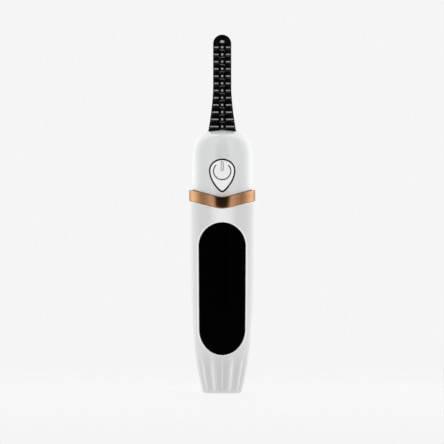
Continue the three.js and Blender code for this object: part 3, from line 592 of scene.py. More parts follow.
class Recipe(Tree):
    """A material's node tree while it is being written."""

    def __init__(self, name: str) -> None:
        """Starts a material with one Principled shader."""
        self.material = bpy.data.materials.new(name)
        self.material.use_nodes = True
        super().__init__(self.material.node_tree)
        self.shader = self.tree.nodes["Principled BSDF"]

    def set(self, **values: object) -> None:
        """Feeds the shader's inputs, named with underscores for spaces."""
        for name, value in values.items():
            self.feed(self.shader.inputs[name.replace("_", " ")], value)

    def place(self, pattern: Pattern, scale: tuple[float, float, float] = (1, 1, 1)) -> Socket:
        """Pattern places in metres, from the object's coordinates or the mesh's lay, scaled by axis."""
        if pattern is Pattern.LAY:
            source = self.node("Attribute", attribute_name="lay").outputs["Vector"]
        else:
            source = self.node("TexCoord").outputs["Object"]
        return self.node("Mapping", {"Vector": source, "Scale": scale}).outputs["Vector"]

    def noise(self, where: Socket, scale: float, detail: float = 3, rough: float = 0.5) -> Socket:
        """Noise from 0 to 1 with the given number of features per metre."""
        inputs = {"Vector": where, "Scale": scale, "Detail": detail, "Roughness": rough}
        return self.node("TexNoise", inputs).outputs["Fac"]

    def marks(self) -> list[Socket]:
        """The mesh's lay x and lay y as shares from 0 to 1."""
        lay = self.node("Attribute", attribute_name="lay").outputs["Vector"]
        axes = self.node("SeparateXYZ", {"Vector": lay}).outputs
        return [self.maths("MULTIPLY", axes[axis], 1 / MM) for axis in "XY"]

    def bump(self, height: Socket, distance: float, strength: float = 1.0) -> Socket:
        """A bump of the given height in metres."""
        inputs = {"Height": height, "Distance": distance, "Strength": strength}
        return self.node("Bump", inputs).outputs["Normal"]


def colour(red: float, green: float, blue: float) -> Tint:
    """A linear colour with full alpha."""
    return (red, green, blue, 1.0)


def grey(tone: float) -> Tint:
    """A linear grey with full alpha."""
    return colour(tone, tone, tone)


@dataclass(frozen=True)
class GlossLacquer:
    """White moulded shell under a clear gloss: faint orange peel, and smudges that vary its roughness.

    lay x holds the share of painted highlight along edges and ridges, and lay y of painted shade in grooves.
    """

    name: str = "white_lacquer"
    tint: Tint = colour(0.705, 0.707, 0.706)
    shade: Tint = colour(0.69, 0.692, 0.691)
    # Painted highlight colour, laid where lay x says so.
    painted_highlight: Tint = colour(0.97, 0.98, 0.975)
    # Painted shade colour, laid in grooves where lay y says so.
    groove: Tint = colour(0.6, 0.605, 0.602)
    coat: float = 0.45
    level: float = 0.45

    def build(self) -> bpy.types.Material:
        """Writes the material."""
        r = Recipe(self.name)
        where = r.place(Pattern.OBJECT)
        cloud = r.noise(where, 90, 4)
        smudge = r.noise(where, 240, 5, 0.6)
        peel = r.noise(where, 2600, 2)
        painted_highlight, groove = r.marks()
        plain = r.blend(r.span(cloud, 0.35, 0.7), self.tint, self.shade)
        # The plain tone, with painted shade in grooves and painted highlight on edges and ridges.
        r.set(Base_Color=r.blend(painted_highlight, r.blend(groove, plain, self.groove), self.painted_highlight))
        r.set(Roughness=r.span(smudge, 0.3, 0.75, (0.14, 0.24)), Normal=r.bump(peel, 4e-6))
        r.set(Coat_Weight=self.coat, Coat_Roughness=0.05, Coat_IOR=1.55, IOR=1.55)
        r.set(Specular_IOR_Level=self.level)
        return r.material


@dataclass(frozen=True)
class BrushedRing:
    """Rose-gold anodised metal, brushed round the ring: streaks long in x and y and fine in height."""

    name: str = "rose_gold_brushed"
    tint: Tint = colour(0.86, 0.46, 0.25)
    deep: Tint = colour(0.66, 0.32, 0.155)

    def build(self) -> bpy.types.Material:
        """Writes the material."""
        r = Recipe(self.name)
        fine = r.noise(r.place(Pattern.LAY, (60, 60, 9000)), 1, 4, 0.7)
        broad = r.noise(r.place(Pattern.LAY, (40, 40, 1500)), 1, 3)
        streak = r.maths("ADD", r.maths("MULTIPLY", fine, 0.6), r.maths("MULTIPLY", broad, 0.4))
        r.set(Base_Color=r.blend(r.span(streak, 0.35, 0.65), self.deep, self.tint))
        r.set(Roughness=r.span(streak, 0.3, 0.7, (0.08, 0.2)), Metallic=1.0, Normal=r.bump(streak, 6e-6))
        r.set(Anisotropic=0.35, Specular_Tint=colour(0.5, 0.52, 0.58))
        return r.material


@dataclass(frozen=True)
class SmokedLens:
    """Piano-black window lens, polished, with a few faint wipe marks in its gloss."""

    name: str = "piano_black_lens"

    def build(self) -> bpy.types.Material:
        """Writes the material."""
        r = Recipe(self.name)
        wipe = r.noise(r.place(Pattern.OBJECT, (900, 900, 160)), 1, 5, 0.6)
        depth = r.noise(r.place(Pattern.OBJECT), 60, 2)
        r.set(Base_Color=r.blend(depth, grey(0.0002), colour(0.0004, 0.0004, 0.0005)))
        r.set(Roughness=r.span(wipe, 0.3, 0.8, (0.06, 0.16)), IOR=1.5, Specular_IOR_Level=0.008)
        return r.material


@dataclass(frozen=True)
class Moulded:
    """Moulded plastic or rubber: a fine grain and a cloudy tone."""

    name: str
    tint: Tint
    shade: Tint
    rough: tuple[float, float]
    grain: float = 3000
    relief: float = 1.2e-5
    gloss: float = 0.5

    def build(self) -> bpy.types.Material:
        """Writes the material."""
        r = Recipe(self.name)
        where = r.place(Pattern.OBJECT)
        cloud = r.noise(where, 260, 4)
        grain = r.noise(where, self.grain, 3, 0.6)
        r.set(Base_Color=r.blend(r.span(cloud, 0.3, 0.7), self.tint, self.shade))
        r.set(Roughness=r.span(grain, 0.3, 0.7, self.rough), Normal=r.bump(grain, self.relief))
        r.set(Specular_IOR_Level=self.gloss)
        return r.material


@dataclass(frozen=True)
class CombBlack:
    """Heat-proof black of the comb: lay x is the share of painted highlight on tips, lay y of painted sheen
    on flanks.
    """

    name: str = "comb_black"
    base: Tint = colour(0.0008, 0.0012, 0.001)
    warm: Tint = colour(0.006, 0.006, 0.0035)
    # Painted highlight colour on tips and crests.
    tip: Tint = colour(0.36, 0.38, 0.355)
    # Painted sheen colour on flanks and roots.
    flank_sheen: Tint = colour(0.075, 0.092, 0.075)
    gloss: tuple[float, float] = (0.32, 0.5)
    level: float = 0.035

    def build(self) -> bpy.types.Material:
        """Writes the material."""
        r = Recipe(self.name)
        where = r.place(Pattern.OBJECT)
        cloud = r.noise(where, 700, 4)
        grain = r.noise(where, 5200, 3, 0.6)
        highlight_share, flank_sheen_share = r.marks()
        # Painted highlight on tips and painted sheen on flanks, each broken up by noise.
        patchy = r.maths("MULTIPLY", highlight_share, r.span(r.noise(where, 1700, 3), 0.3, 0.6, (0.55, 1)))
        plain = r.blend(r.span(cloud, 0.35, 0.7), self.base, self.warm)
        patchy_flank_sheen = r.maths("MULTIPLY", flank_sheen_share, r.span(r.noise(where, 2300, 4), 0.35, 0.6, (0.25, 1)))
        dark = r.blend(patchy_flank_sheen, plain, self.flank_sheen)
        r.set(Base_Color=r.blend(patchy, dark, self.tip))
        r.set(Roughness=r.span(grain, 0.3, 0.7, self.gloss), Normal=r.bump(grain, 6e-6))
        r.set(Specular_IOR_Level=self.level)
        return r.material


@dataclass(frozen=True)
class BareMetal:
    """Plated or bare metal: fine drawn scratches and a slightly uneven tone."""

    name: str
    tint: Tint
    shade: Tint
    rough: tuple[float, float] = (0.22, 0.4)
    draw: tuple[float, float, float] = (3000, 3000, 200)

    def build(self) -> bpy.types.Material:
        """Writes the material."""
        r = Recipe(self.name)
        scratch = r.noise(r.place(Pattern.OBJECT, self.draw), 1, 4, 0.7)
        cloud = r.noise(r.place(Pattern.OBJECT), 300, 3)
        r.set(Base_Color=r.blend(cloud, self.tint, self.shade), Metallic=1.0)
        r.set(Roughness=r.span(scratch, 0.3, 0.7, self.rough), Normal=r.bump(scratch, 5e-6))
        return r.material


@dataclass(frozen=True)
class CircuitBoard:
    """Solder mask over copper: a grid of fine tracks shows through as a paler green, with bare round pads."""

    name: str = "circuit_board"

    def build(self) -> bpy.types.Material:
        """Writes the material."""
        r = Recipe(self.name)
        where = r.place(Pattern.OBJECT)
        bent = r.node("VectorMath", {0: where, 1: (0.0004, 0.0, 0.0007)}, operation="ADD").outputs["Vector"]
        cells = r.node("TexVoronoi", {"Vector": bent, "Scale": 420.0}, feature="DISTANCE_TO_EDGE")
        pads = r.node("TexVoronoi", {"Vector": where, "Scale": 520.0}, feature="F1")
        track = r.span(cells.outputs["Distance"], 0.04, 0.09, (1, 0))
        pad = r.span(pads.outputs["Distance"], 0.16, 0.2, (1, 0))
        mask = r.blend(track, colour(0.008, 0.075, 0.03), colour(0.02, 0.14, 0.06))
        r.set(Base_Color=r.blend(pad, mask, colour(0.72, 0.6, 0.34)), Metallic=pad)
        r.set(Roughness=r.span(r.noise(where, 900, 3), 0.3, 0.7, (0.28, 0.45)), Normal=r.bump(track, 1.5e-5))
        return r.material


@dataclass(frozen=True)
class SegmentGlass:
    """Smoked display glass with faint dark segment bars in rows."""

    name: str = "segment_glass"

    def build(self) -> bpy.types.Material:
        """Writes the material."""
        r = Recipe(self.name)
        inputs = {"Vector": r.place(Pattern.OBJECT), "Scale": 130.0, "Distortion": 0.0}
        bars = r.node("TexWave", inputs, wave_type="BANDS", bands_direction="Z")
        share = r.span(bars.outputs["Fac"], 0.45, 0.55)
        dust = r.noise(r.place(Pattern.OBJECT), 800, 4)
        r.set(Base_Color=r.blend(share, colour(0.02, 0.024, 0.022), colour(0.045, 0.052, 0.048)))
        r.set(Roughness=r.span(dust, 0.3, 0.8, (0.05, 0.15)), IOR=1.5)
        return r.material


@dataclass
class FinishBook:
    """Every finish of the object, each built once and kept by name."""

    made: dict[str, bpy.types.Material] = field(default_factory=dict)

    def __call__(self, finish: object) -> bpy.types.Material:
        """The material of a finish, built when first asked for."""
        if finish.name not in self.made:
            self.made[finish.name] = finish.build()
        return self.made[finish.name]


class Stock(Enum):
    """The finishes that pieces are given."""

    LACQUER = GlossLacquer()
    DOME = GlossLacquer(
        "dome_lacquer", colour(0.765, 0.778, 0.772), colour(0.75, 0.763, 0.757), coat=1.0, level=0.85
    )
    KEY = GlossLacquer("key_lacquer", colour(0.96, 0.965, 0.962), colour(0.94, 0.945, 0.942))
    RING = BrushedRing()
    LENS = SmokedLens()
    COMB = CombBlack()
    # Painted highlight on the pins' heads and painted sheen at their roots.
    PINS = CombBlack(
        name="heater_ceramic",
        base=grey(0.003),
        warm=colour(0.009, 0.009, 0.008),
        tip=colour(0.5, 0.51, 0.5),
        flank_sheen=colour(0.07, 0.075, 0.07),
    )
    # Painted highlight where the wire crosses the middle of the slot.
    WIRE = CombBlack("heating_alloy", grey(0.008), colour(0.014, 0.014, 0.013), colour(0.2, 0.21, 0.2))
    RUBBER = Moulded("black_rubber", grey(0.006), grey(0.011), (0.5, 0.7))
    SEAL = Moulded("seal_rubber", grey(0.002), grey(0.004), (0.5, 0.7), gloss=0.08)
    INK = Moulded(
        "grey_ink", colour(0.02, 0.021, 0.022), colour(0.04, 0.041, 0.043), (0.4, 0.55), relief=2e-6
    )
    FRAME = Moulded("natural_nylon", colour(0.62, 0.62, 0.59), colour(0.52, 0.52, 0.5), (0.4, 0.6))
    CHIP = Moulded("chip_resin", colour(0.012, 0.012, 0.013), colour(0.02, 0.02, 0.021), (0.35, 0.55))
    FOAM = Moulded(
        "grey_foam", colour(0.03, 0.031, 0.033), colour(0.07, 0.07, 0.074), (0.85, 0.95), 1800, 9e-5, 0.1
    )
    CELL = Moulded("cell_wrap", colour(0.03, 0.14, 0.36), colour(0.04, 0.18, 0.42), (0.22, 0.4), relief=6e-6)
    RED = Moulded("red_lead", colour(0.36, 0.014, 0.01), colour(0.28, 0.012, 0.009), (0.35, 0.5))
    BLACK = Moulded("black_lead", grey(0.012), grey(0.022), (0.35, 0.5))
    WHITE = Moulded("white_lead", colour(0.68, 0.66, 0.6), colour(0.58, 0.56, 0.5), (0.35, 0.5))
    STEEL = BareMetal("plated_steel", colour(0.56, 0.565, 0.57), colour(0.45, 0.455, 0.46))
    GOLD = BareMetal("gold_contact", colour(0.83, 0.6, 0.26), colour(0.74, 0.52, 0.22))
    BOARD = CircuitBoard()
    DISPLAY = SegmentGlass()


finishes = FinishBook()


def dress(piece: bpy.types.Object, stock: Stock) -> bpy.types.Object:
    """Gives a piece one finish in every slot.

    Args:
        piece: The object.
        stock: Its finish.

    Returns:
        The same object.
    """
    piece.data.materials.clear()
    piece.data.materials.append(finishes(stock.value))
    return piece


def settle(
    piece: bpy.types.Object, stock: Stock, slot: str, *nodes: str, body: str = "housing"
) -> bpy.types.Object:
    """Dresses a new piece, hides the CAD nodes that it stands for and lets it ride on a body.

    Args:
        piece: The new object.
        stock: Its finish.
        slot: The record's material slot; not used.
        *nodes: CAD nodes that it stands for.
        body: The body that it rides on.

    Returns:
        The same object.
    """
    dress(piece, stock)
    if nodes:
        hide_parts(*nodes)
    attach(piece, body)
    log.info("%s: %d faces, rides on %s", piece.name, len(piece.data.polygons), body)
    return piece


# ---- Handle ----------------------------------------------------------------------------------------


@dataclass(frozen=True)
class Handle:
    """The handle's shell with its fluted foot, window seat and port hole, and the lens in the window."""

    form: BodyForm
    pane_top: float = 61.28
    pane_half: float = 8.5
    pane_bottom: float = 13.85
    pane_bottom_half: float = 8.33
    pane_bottom_rise: float = 9.1
    # Strength and widths of the painted highlight up the front between window and ring.
    glow: float = 0.85
    glow_half: float = 5.5
    glow_core: float = 0.9
    pane_fit: float = 0.12
    lens_thickness: float = 1.2
    bed: float = 1.45
    ledge: float = 1.6
    pad_sink: float = 2.7
    rim: float = 0.22
    seam: float = 12.0
    foot_round: float = 0.8
    port_half: float = 4.75
    port_radius: float = 1.86
    port_round: float = 0.25
    lens_bevel: float = 0.1
    edge_round: float = 0.16

    def pane(self, counts: Sequence[int]) -> np.ndarray:
        """The window's outline: half an ellipse below, sides that widen by a hair, and half a circle above.

        Args:
            counts: How many points lie on each of its five stretches.

        Returns:
            Closed (x, z) outline, anticlockwise from its lowest point.
        """
        low, high = self.spine
        below = (self.pane_bottom_half, self.pane_bottom_rise)
        right = arc(-math.pi / 2, 0, 200, below, low)
        above = arc(0, math.pi, 400, (self.pane_half, self.pane_half), high)
        left = arc(math.pi, 3 * math.pi / 2, 200, below, low)
        return stationed(np.vstack([right, above, left]), [0, 0.125, 0.385, 0.615, 0.875, 1], counts)

    @property
    def spine(self) -> tuple[float, float]:
        """Heights between which the window's sides run nearly straight."""
        return self.pane_bottom + self.pane_bottom_rise, self.pane_top - self.pane_half

    def mouth_edge(self, psi: np.ndarray) -> np.ndarray:
        """Height at which the mouth's rounded rim starts."""
        return self.form.handle_height - self.edge_round - self.form.joint_dip(psi, self.form.mouth_half)

    def unrolled(self, xz: np.ndarray) -> np.ndarray:
        """Angle and height of (x, z) places on the handle, seen from the front."""
        return np.stack([self.form.angle_at(xz[..., 0], self.form.handle_half(xz[..., 1])), xz[..., 1]], -1)

    def on_skin(self, xz: np.ndarray, sink: float) -> np.ndarray:
        """Points of the handle's skin at (x, z) places seen from the front, sunk by a depth."""
        return self.form.handle_skin(self.unrolled(xz)[..., 0], xz[..., 1], sink)

    def shell(self) -> Sheet:
        """The shell's skin, outside and inside: window patch, foot and mouth weld into one closed sheet."""
        form = self.form
        patch = Patch(level(self.seam), self.mouth_edge, 288, 96)
        pane = self.pane(patch.counts)
        outer_hole = self.unrolled(grown(pane, self.pane_fit + self.rim))
        psi, z = patch.spread(outer_hole, np.linspace(0, 1, 40)[::-1] ** 1.35)
        rows = [form.handle_skin(psi, z, fluted=True)]
        # Painted highlight on flute ridges, next to the window's rim, along the mouth's edge and up the front
        # above the window; painted shade in flute grooves.
        marks = form.flute_marks(psi, z)
        marks[-2:, :, 0] = 1
        marks[0, :, 0] = np.maximum(marks[0, :, 0], patch.upper_side())
        marks[..., 0] = np.maximum(marks[..., 0], self.painted_highlight_above(rows[0]))
        rim = [(self.pane_fit + g, s) for g, s in fillet(self.rim, 5)[1:]]
        seat = [(self.pane_fit, self.bed), (-self.ledge, self.bed)]
        seat += [(-self.ledge, self.pad_sink), (self.ledge, self.pad_sink)]
        rows += [self.on_skin(grown(pane, g), s)[None] for g, s in rim + seat]
        psi, z = patch.spread(self.unrolled(grown(pane, self.ledge)), np.linspace(0, 1, 9))
        rows.append(form.handle_skin(psi, z, form.wall))
        points = np.concatenate(rows)
        lay = np.zeros(points.shape)
        lay[: len(marks)] = marks
        # Painted highlight on the window's rounded rim.
        lay[len(marks) : len(marks) + len(rim), :, 0] = 1
        return Sheet.grid(points, lay=lay) + self.foot(patch) + self.mouth(patch)

    def painted_highlight_above(self, skin: np.ndarray) -> np.ndarray:
        """Share of painted highlight between window and ring: a soft strip up the middle of the front.

        Args:
            skin: Points of the handle's skin.

        Returns:
            The share at each point.
        """
        across = smooth(self.glow_half, self.glow_core, np.abs(skin[..., 0])) * (skin[..., 1] < 0)
        return self.glow * across * smooth(self.pane_top - 2, self.pane_top - 1, skin[..., 2])

    def port_hole(self) -> np.ndarray:
        """Dense plan outline of the port's hole: half circles joined by nearly straight sides."""
        t = np.linspace(0, TURN, 800)
        x = (self.port_half - self.port_radius) * np.tanh(8 * np.cos(t)) + self.port_radius * np.cos(t)
        return np.stack([x, self.port_radius * np.sin(t)], -1)

    def foot(self, patch: Patch) -> Sheet:
        """The fluted foot below the window patch, its flat base, the port's hole, and the inside back up."""
        form, psi = self.form, patch.lower_angles()
        heights = np.linspace(self.seam, self.foot_round, 26)
        rows = [form.handle_skin(psi, z, fluted=True) for z in heights]
        marks = [form.flute_marks(psi, z) for z in heights]
        start = form.handle_half(self.foot_round) - form.flute_depth * form.flute(psi, self.foot_round)[0]
        rows += [form.at(psi, start - sink, z) for z, sink in fillet(self.foot_round, 6)[1:]]
        reach = polar_radius(self.port_hole(), psi)
        base = np.hypot(rows[-1][:, 0], rows[-1][:, 1])
        inner = np.linalg.norm(form.plan(psi, form.handle_half(form.floor) - form.wall), axis=-1)
        wide = reach + self.port_round
        rows += [disc_row(psi, (1 - s) * base + s * wide, 0.0) for s in (0.25, 0.5, 0.75, 1)]
        rows += [disc_row(psi, reach + g, s) for g, s in fillet(self.port_round, 4)[1:]]
        rows += [disc_row(psi, (1 - s) * reach + s * inner, form.floor) for s in (0, 0.5)]
        rows += [form.handle_skin(psi, z, form.wall) for z in np.linspace(form.floor, self.seam, 8)]
        lay = np.zeros((len(rows), len(psi), 3))
        # Painted highlight on the foot's flute ridges and painted shade in their grooves.
        lay[: len(marks)] = marks
        return Sheet.grid(np.stack(rows), ring=False, lay=lay)

    def mouth(self, patch: Patch) -> Sheet:
        """The rounded rim of the handle's mouth, from the outer skin over to the inner."""
        form, psi = self.form, patch.upper_angles()
        edge = self.mouth_edge(psi)
        outer = fillet(self.edge_round, 4)
        path = outer + [(drop, form.wall - sink) for drop, sink in outer[::-1]]
        half, top = form.handle_half(edge), edge + self.edge_round
        rows = np.stack([form.at(psi, half - sink, top - drop) for drop, sink in path])
        lay = np.zeros(rows.shape)
        # Painted highlight on the outer half of the mouth's rounded rim.
        lay[: len(outer), :, 0] = 1
        return Sheet.grid(rows, ring=False, lay=lay)

    def lens(self) -> Sheet:
        """The lens: a plate on the handle's skin with a rounded edge."""
        edge = [(-g, s) for g, s in fillet(self.rim, 5)]
        edge += [(0, self.lens_thickness - self.lens_bevel), (-self.lens_bevel, self.lens_thickness)]
        return lid(self.pane(border_counts(200, 80)), self.spine, edge, self.on_skin, 22)

    def build(self) -> None:
        """Makes the shell and the lens."""
        settle(self.shell().piece("handle_shell"), Stock.LACQUER, "white_gloss", "handle_housing")
        settle(self.lens().piece("window_lens"), Stock.LENS, "black_lens", "display_lens")


# ---- Head, ring and key ----------------------------------------------------------------------------


@dataclass(frozen=True)
class CombForm:
    """The tongue that carries the comb: its outline, its thickness and the curve that it follows."""

    base: float = 94.0
    tip: float = 129.0
    half: float = 3.28
    flare: float = 1.76
    flare_length: float = 15.5
    flare_power: float = 1.5
    front: float = 1.6
    back: float = 1.9
    thicken: float = 0.5
    split: float = 0.15
    root_y: float = -1.4
    lean: float = 0.22
    curl: float = 0.135
    root: float = 84.1
    slot: float = 1.3
    slot_low: float = 93.4
    slot_high: float = 126.9

    def centre(self, z: np.ndarray | float) -> np.ndarray:
        """Y of the centre line: root + length times (lean u - curl u^2), u being the height's share."""
        length = self.tip - self.base + 1
        u = np.maximum(0, (np.asarray(z, float) - self.base + 1) / length)
        return self.root_y + length * (self.lean * u - self.curl * u * u)

    def flared(self, z: np.ndarray | float) -> np.ndarray:
        """Half-width without the round tip: it grows by a power of the distance below the flare's top."""
        t = np.clip((self.base + self.flare_length - np.asarray(z, float)) / self.flare_length, 0, 1)
        return self.half + self.flare * t**self.flare_power

    def half_at(self, z: np.ndarray | float) -> np.ndarray:
        """Half-width with the tip rounded as half a circle."""
        over = np.clip((np.asarray(z, float) - (self.tip - self.half)) / self.half, 0, 1)
        return self.flared(z) * np.sqrt(1 - over**2)

    def thickness(self, z: np.ndarray | float, base: float) -> np.ndarray:
        """Thickness of one side: its own, more at the flare, less as the tip closes."""
        grow = self.thicken * (self.flared(z) - self.half) / self.flare
        return (base + grow) * (self.half_at(z) / self.flared(z)) ** 0.6

    def front_y(self, x: np.ndarray, z: np.ndarray) -> np.ndarray:
        """Y of the front face from the centre line: -thickness (1 - |x / half|^2.67)^0.225."""
        share = np.clip(1 - np.abs(x / np.maximum(self.half_at(z), 1e-6)) ** (8 / 3), 0, 1)
        return -self.thickness(z, self.front) * share**0.225

    def opening(self, z: float, gap: float) -> np.ndarray:
        """Dense plan outline of the tongue at one height, grown by a gap."""
        t = circuit(2000) - math.pi
        s, c = np.sin(t), np.cos(t)
        x = (self.flared(z) + gap) * signed_power(s, 0.75)
        front = (self.thickness(z, self.front) + gap) * np.abs(c) ** 0.45
        back = (self.thickness(z, self.back) + gap) * np.abs(c) ** 0.7
        return np.stack([x, self.centre(z) + np.where(c > 0, -front, back)], -1)


@dataclass(frozen=True)
class Head:
    """The domed head with its key hole and comb opening, the ring below it, the key, its seal and mark."""

    form: BodyForm
    comb: CombForm
    key_half: float = 4.17
    key_tip: float = 72.75
    key_height: float = 10.9
    key_widest: float = 79.95
    key_proud: float = 0.2
    key_round: float = 0.1
    key_back: float = 2.4
    lip: float = 0.9
    lip_sink: float = 1.8
    seal: tuple[float, float] = (0.0, 0.6)
    seal_sunk: float = 0.04
    hole: float = 0.6
    rim: float = 0.1
    seam: float = 88.0
    edge_round: float = 0.18
    spigot_half: float = 10.0
    spigot_low: float = 63.6
    bore_half: float = 8.65
    ramp_low: float = 2.2
    ramp_high: float = 1.2
    circle: float = 0.5523
    key_fold: float = 1.2
    comb_gap: float = 0.25
    ring_proud: float = 0.1
    ring_gap: float = 0.2
    ring_round: float = 0.09
    ring_crown: float = 0.05
    seal_round: float = 0.08
    seal_deep: float = 1.4
    mark_radius: float = 3.05
    mark_drop: float = 0.2
    mark_line: float = 0.2
    capsule_low: float = 0.2
    capsule_high: float = 3.45
    capsule_half: float = 0.36
    capsule_line: float = 0.1

    def teardrop(self, counts: Sequence[int]) -> np.ndarray:
        """The key's outline: cubic curves from the tip to the widest point and on to the top, then mirrored.

        The last curve is a quarter of an ellipse: circle is the share of a radius that its handles reach.

        Args:
            counts: How many points lie on each of its five stretches.

        Returns:
            Closed (x, z) outline, anticlockwise from its tip.
        """
        w, tip, wide = self.key_half, self.key_tip, self.key_widest
        top, drop = tip + self.key_height, wide - tip
        knee = (0.165 * w, tip + 0.047 * drop)
        spans = [
            [(0, tip), (0.055 * w, tip), (0.1 * w, tip + 0.011 * drop), knee],
            [knee, (0.53 * w, tip + 0.235 * drop), (w, wide - 0.38 * drop), (w, wide)],
            [(w, wide), (w, wide + self.circle * (top - wide)), (self.circle * w, top), (0, top)],
        ]
        t = np.linspace(0, 1, 200)[:, None]
        powers = np.hstack([(1 - t) ** 3, 3 * t * (1 - t) ** 2, 3 * t**2 * (1 - t), t**3])
        right = np.vstack([powers @ np.array(span) for span in spans])
        curve = np.vstack([right, right[::-1] * np.array([-1, 1])])
        keep = np.concatenate([[True], np.linalg.norm(np.diff(curve, axis=0), axis=1) > 1e-9])
        return stationed(curve[keep], [0, 0.17, 0.36, 0.64, 0.83, 1], counts)

    def lower_edge(self, psi: np.ndarray) -> np.ndarray:
        """Height at which the head's rounded lower edge ends and its skin starts."""
        return self.form.shoulder + self.edge_round - self.form.joint_dip(psi, self.form.head_half)

    def unrolled(self, xz: np.ndarray) -> np.ndarray:
        """Angle and height of (x, z) places on the head, seen from the front."""
        return np.stack([self.form.angle_at(xz[..., 0], self.form.head_half_at(xz[..., 1])), xz[..., 1]], -1)

    def on_skin(self, xz: np.ndarray, sink: float) -> np.ndarray:
        """Points of the head's skin at (x, z) places seen from the front, sunk by a depth."""
        return self.form.head_skin(self.unrolled(xz)[..., 0], xz[..., 1], sink)

    def shell(self) -> Sheet:
        """The shell's skin, outside and inside: key patch, dome and spigot weld into one closed sheet."""
        form = self.form
        patch = Patch(self.lower_edge, level(self.seam), 240, 60)
        drop = self.teardrop(patch.counts)
        outer_hole = self.unrolled(grown(drop, self.hole + self.rim))
        psi, z = patch.spread(outer_hole, np.linspace(0, 1, 40)[::-1] ** 1.4)
        rows = [form.head_skin(psi, z)]
        path = [(self.hole + g, s) for g, s in fillet(self.rim, 5)[1:]] + [(self.hole, form.wall)]
        rows += [self.on_skin(grown(drop, g), s)[None] for g, s in path]
        psi, z = patch.spread(self.unrolled(grown(drop, self.hole)), np.linspace(0, 1, 9)[1:])
        rows.append(form.head_skin(psi, z, form.wall))
        points = np.concatenate(rows)
        lay = np.zeros(points.shape)
        # Painted highlight along the head's skin just above its lower edge.
        lay[0, :, 0] = patch.lower_side()
        return Sheet.grid(points, lay=lay) + self.dome(patch) + self.spigot(patch)

    def opening_half(self, psi: np.ndarray) -> np.ndarray:
        """Half-width of the body section through the comb opening at each angle, found by halving."""
        reach = polar_radius(self.comb.opening(self.comb.base, self.comb_gap), psi)
        low, high = np.full(psi.shape, 0.5), np.full(psi.shape, self.form.head_half)
        for _ in range(40):
            middle = (low + high) / 2
            inside = np.linalg.norm(self.form.plan(psi, middle), axis=-1) < reach
            low, high = np.where(inside, middle, low), np.where(inside, high, middle)
        return high

    def dome(self, patch: Patch) -> Sheet:
        """The dome from the patch's upper side to the comb opening, over its rim, and back inside."""
        form, psi = self.form, patch.upper_angles()
        hole = self.opening_half(psi)
        start, inner = form.head_half_at(self.seam), form.head_half_at(self.seam, form.wall)
        climb = 1 - np.cos(quarter(30))
        outside = [start + (hole + self.rim - start) * k for k in climb]
        rows = [form.at(psi, half, form.dome_height(half)) for half in outside]
        top, rim = form.dome_height(hole + self.rim), fillet(self.rim, 5)[1:]
        rows += [form.at(psi, hole + g, top - s) for g, s in rim]
        inside = [hole + (inner - hole) * k for k in np.sin(quarter(12))]
        rows += [form.at(psi, half, form.dome_height(half, form.wall)) for half in inside]
        lay = np.zeros((len(rows), len(psi), 3))
        # Painted highlight: rising over the dome's last stretch to the comb opening, and full on the
        # opening's rim.
        lay[: len(climb), :, 0] = 0.8 * smooth(0.8, 1, climb)[:, None]
        lay[len(climb) - 1 : len(climb) + len(rim) - 1, :, 0] = 1
        return Sheet.grid(np.stack(rows), ring=False, lay=lay)

    def spigot(self, patch: Patch) -> Sheet:
        """The head's lower edge, the spigot that goes into the handle, and its bore up to the inner skin."""
        form, psi = self.form, patch.lower_angles()
        r, half = self.edge_round, form.head_half
        edge, low = self.lower_edge(psi) - r, np.full(psi.shape, self.spigot_low)
        outer = fillet(r, 5)
        rows = [form.at(psi, half - s, edge + g) for g, s in outer]
        path = [(self.spigot_half, edge), (self.spigot_half, low)]
        path += [(self.bore_half, low), (self.bore_half, edge - self.ramp_low)]
        path += [(half - form.wall, edge - self.ramp_high), (half - form.wall, edge + r)]
        rows += [form.at(psi, h, z) for h, z in path]
        lay = np.zeros((len(rows), len(psi), 3))
        # Painted highlight on the head's rounded lower edge.
        lay[: len(outer), :, 0] = 1
        return Sheet.grid(np.stack(rows), ring=False, lay=lay)

    def ring(self) -> Sheet:
        """The trim ring: a rounded, faintly crowned section round the body, dipping at front and back.

        Its lay holds each point's place with the dip taken out, so that the brushing follows the ring.
        """
        form = self.form
        psi = circuit(360) - math.pi
        outer, inner = form.mouth_half + self.ring_proud, self.spigot_half + self.ring_gap
        r = self.ring_round
        low, high = form.handle_height + form.joint_gap, form.shoulder - form.joint_gap
        a = quarter(6)
        z = np.linspace(low + r, high - r, 9)[1:-1]
        crown = self.ring_crown * np.sin((z - low) / (high - low) * math.pi)
        low_round, high_round = outer - r + r * np.sin(a), outer - r + r * np.cos(a)
        half = np.concatenate([[inner], low_round, outer + crown, high_round, [inner]])
        height = np.concatenate([[low], low + r - r * np.cos(a), z, high - r + r * np.sin(a), [high]])
        dip = form.joint_dip(psi, outer)
        rows = np.stack([form.at(psi, h, v - dip) for h, v in zip(half, height)])
        lay = rows.copy()
        lay[..., 2] += dip
        return Sheet.grid(rows, loop=True, lay=lay)

    def key(self) -> Sheet:
        """The key: a plate on the head's skin with a soft edge, and the lip that keeps it behind the wall."""
        edge = [(-g, s - self.key_proud) for g, s in fillet(self.key_round, 6)]
        edge += [(0, self.lip_sink), (self.lip, self.lip_sink), (self.lip, self.key_back)]
        spine = (self.key_tip + self.key_fold, self.key_widest)
        return lid(self.teardrop(border_counts(120, 50)), spine, edge, self.on_skin, 16)

    def key_seal(self) -> Sheet:
        """The black seal round the key: a rounded section carried round the key's outline."""
        low, high = self.seal
        top, r, deep = self.seal_sunk, self.seal_round, self.seal_deep
        section = [(low, deep), (low, top + r), (low + r, top)]
        section += [(high - r, top), (high, top + r), (high, deep)]
        drop = self.teardrop(border_counts(160, 60))
        return Sheet.grid(np.stack([self.on_skin(grown(drop, g), s) for g, s in section]), loop=True)

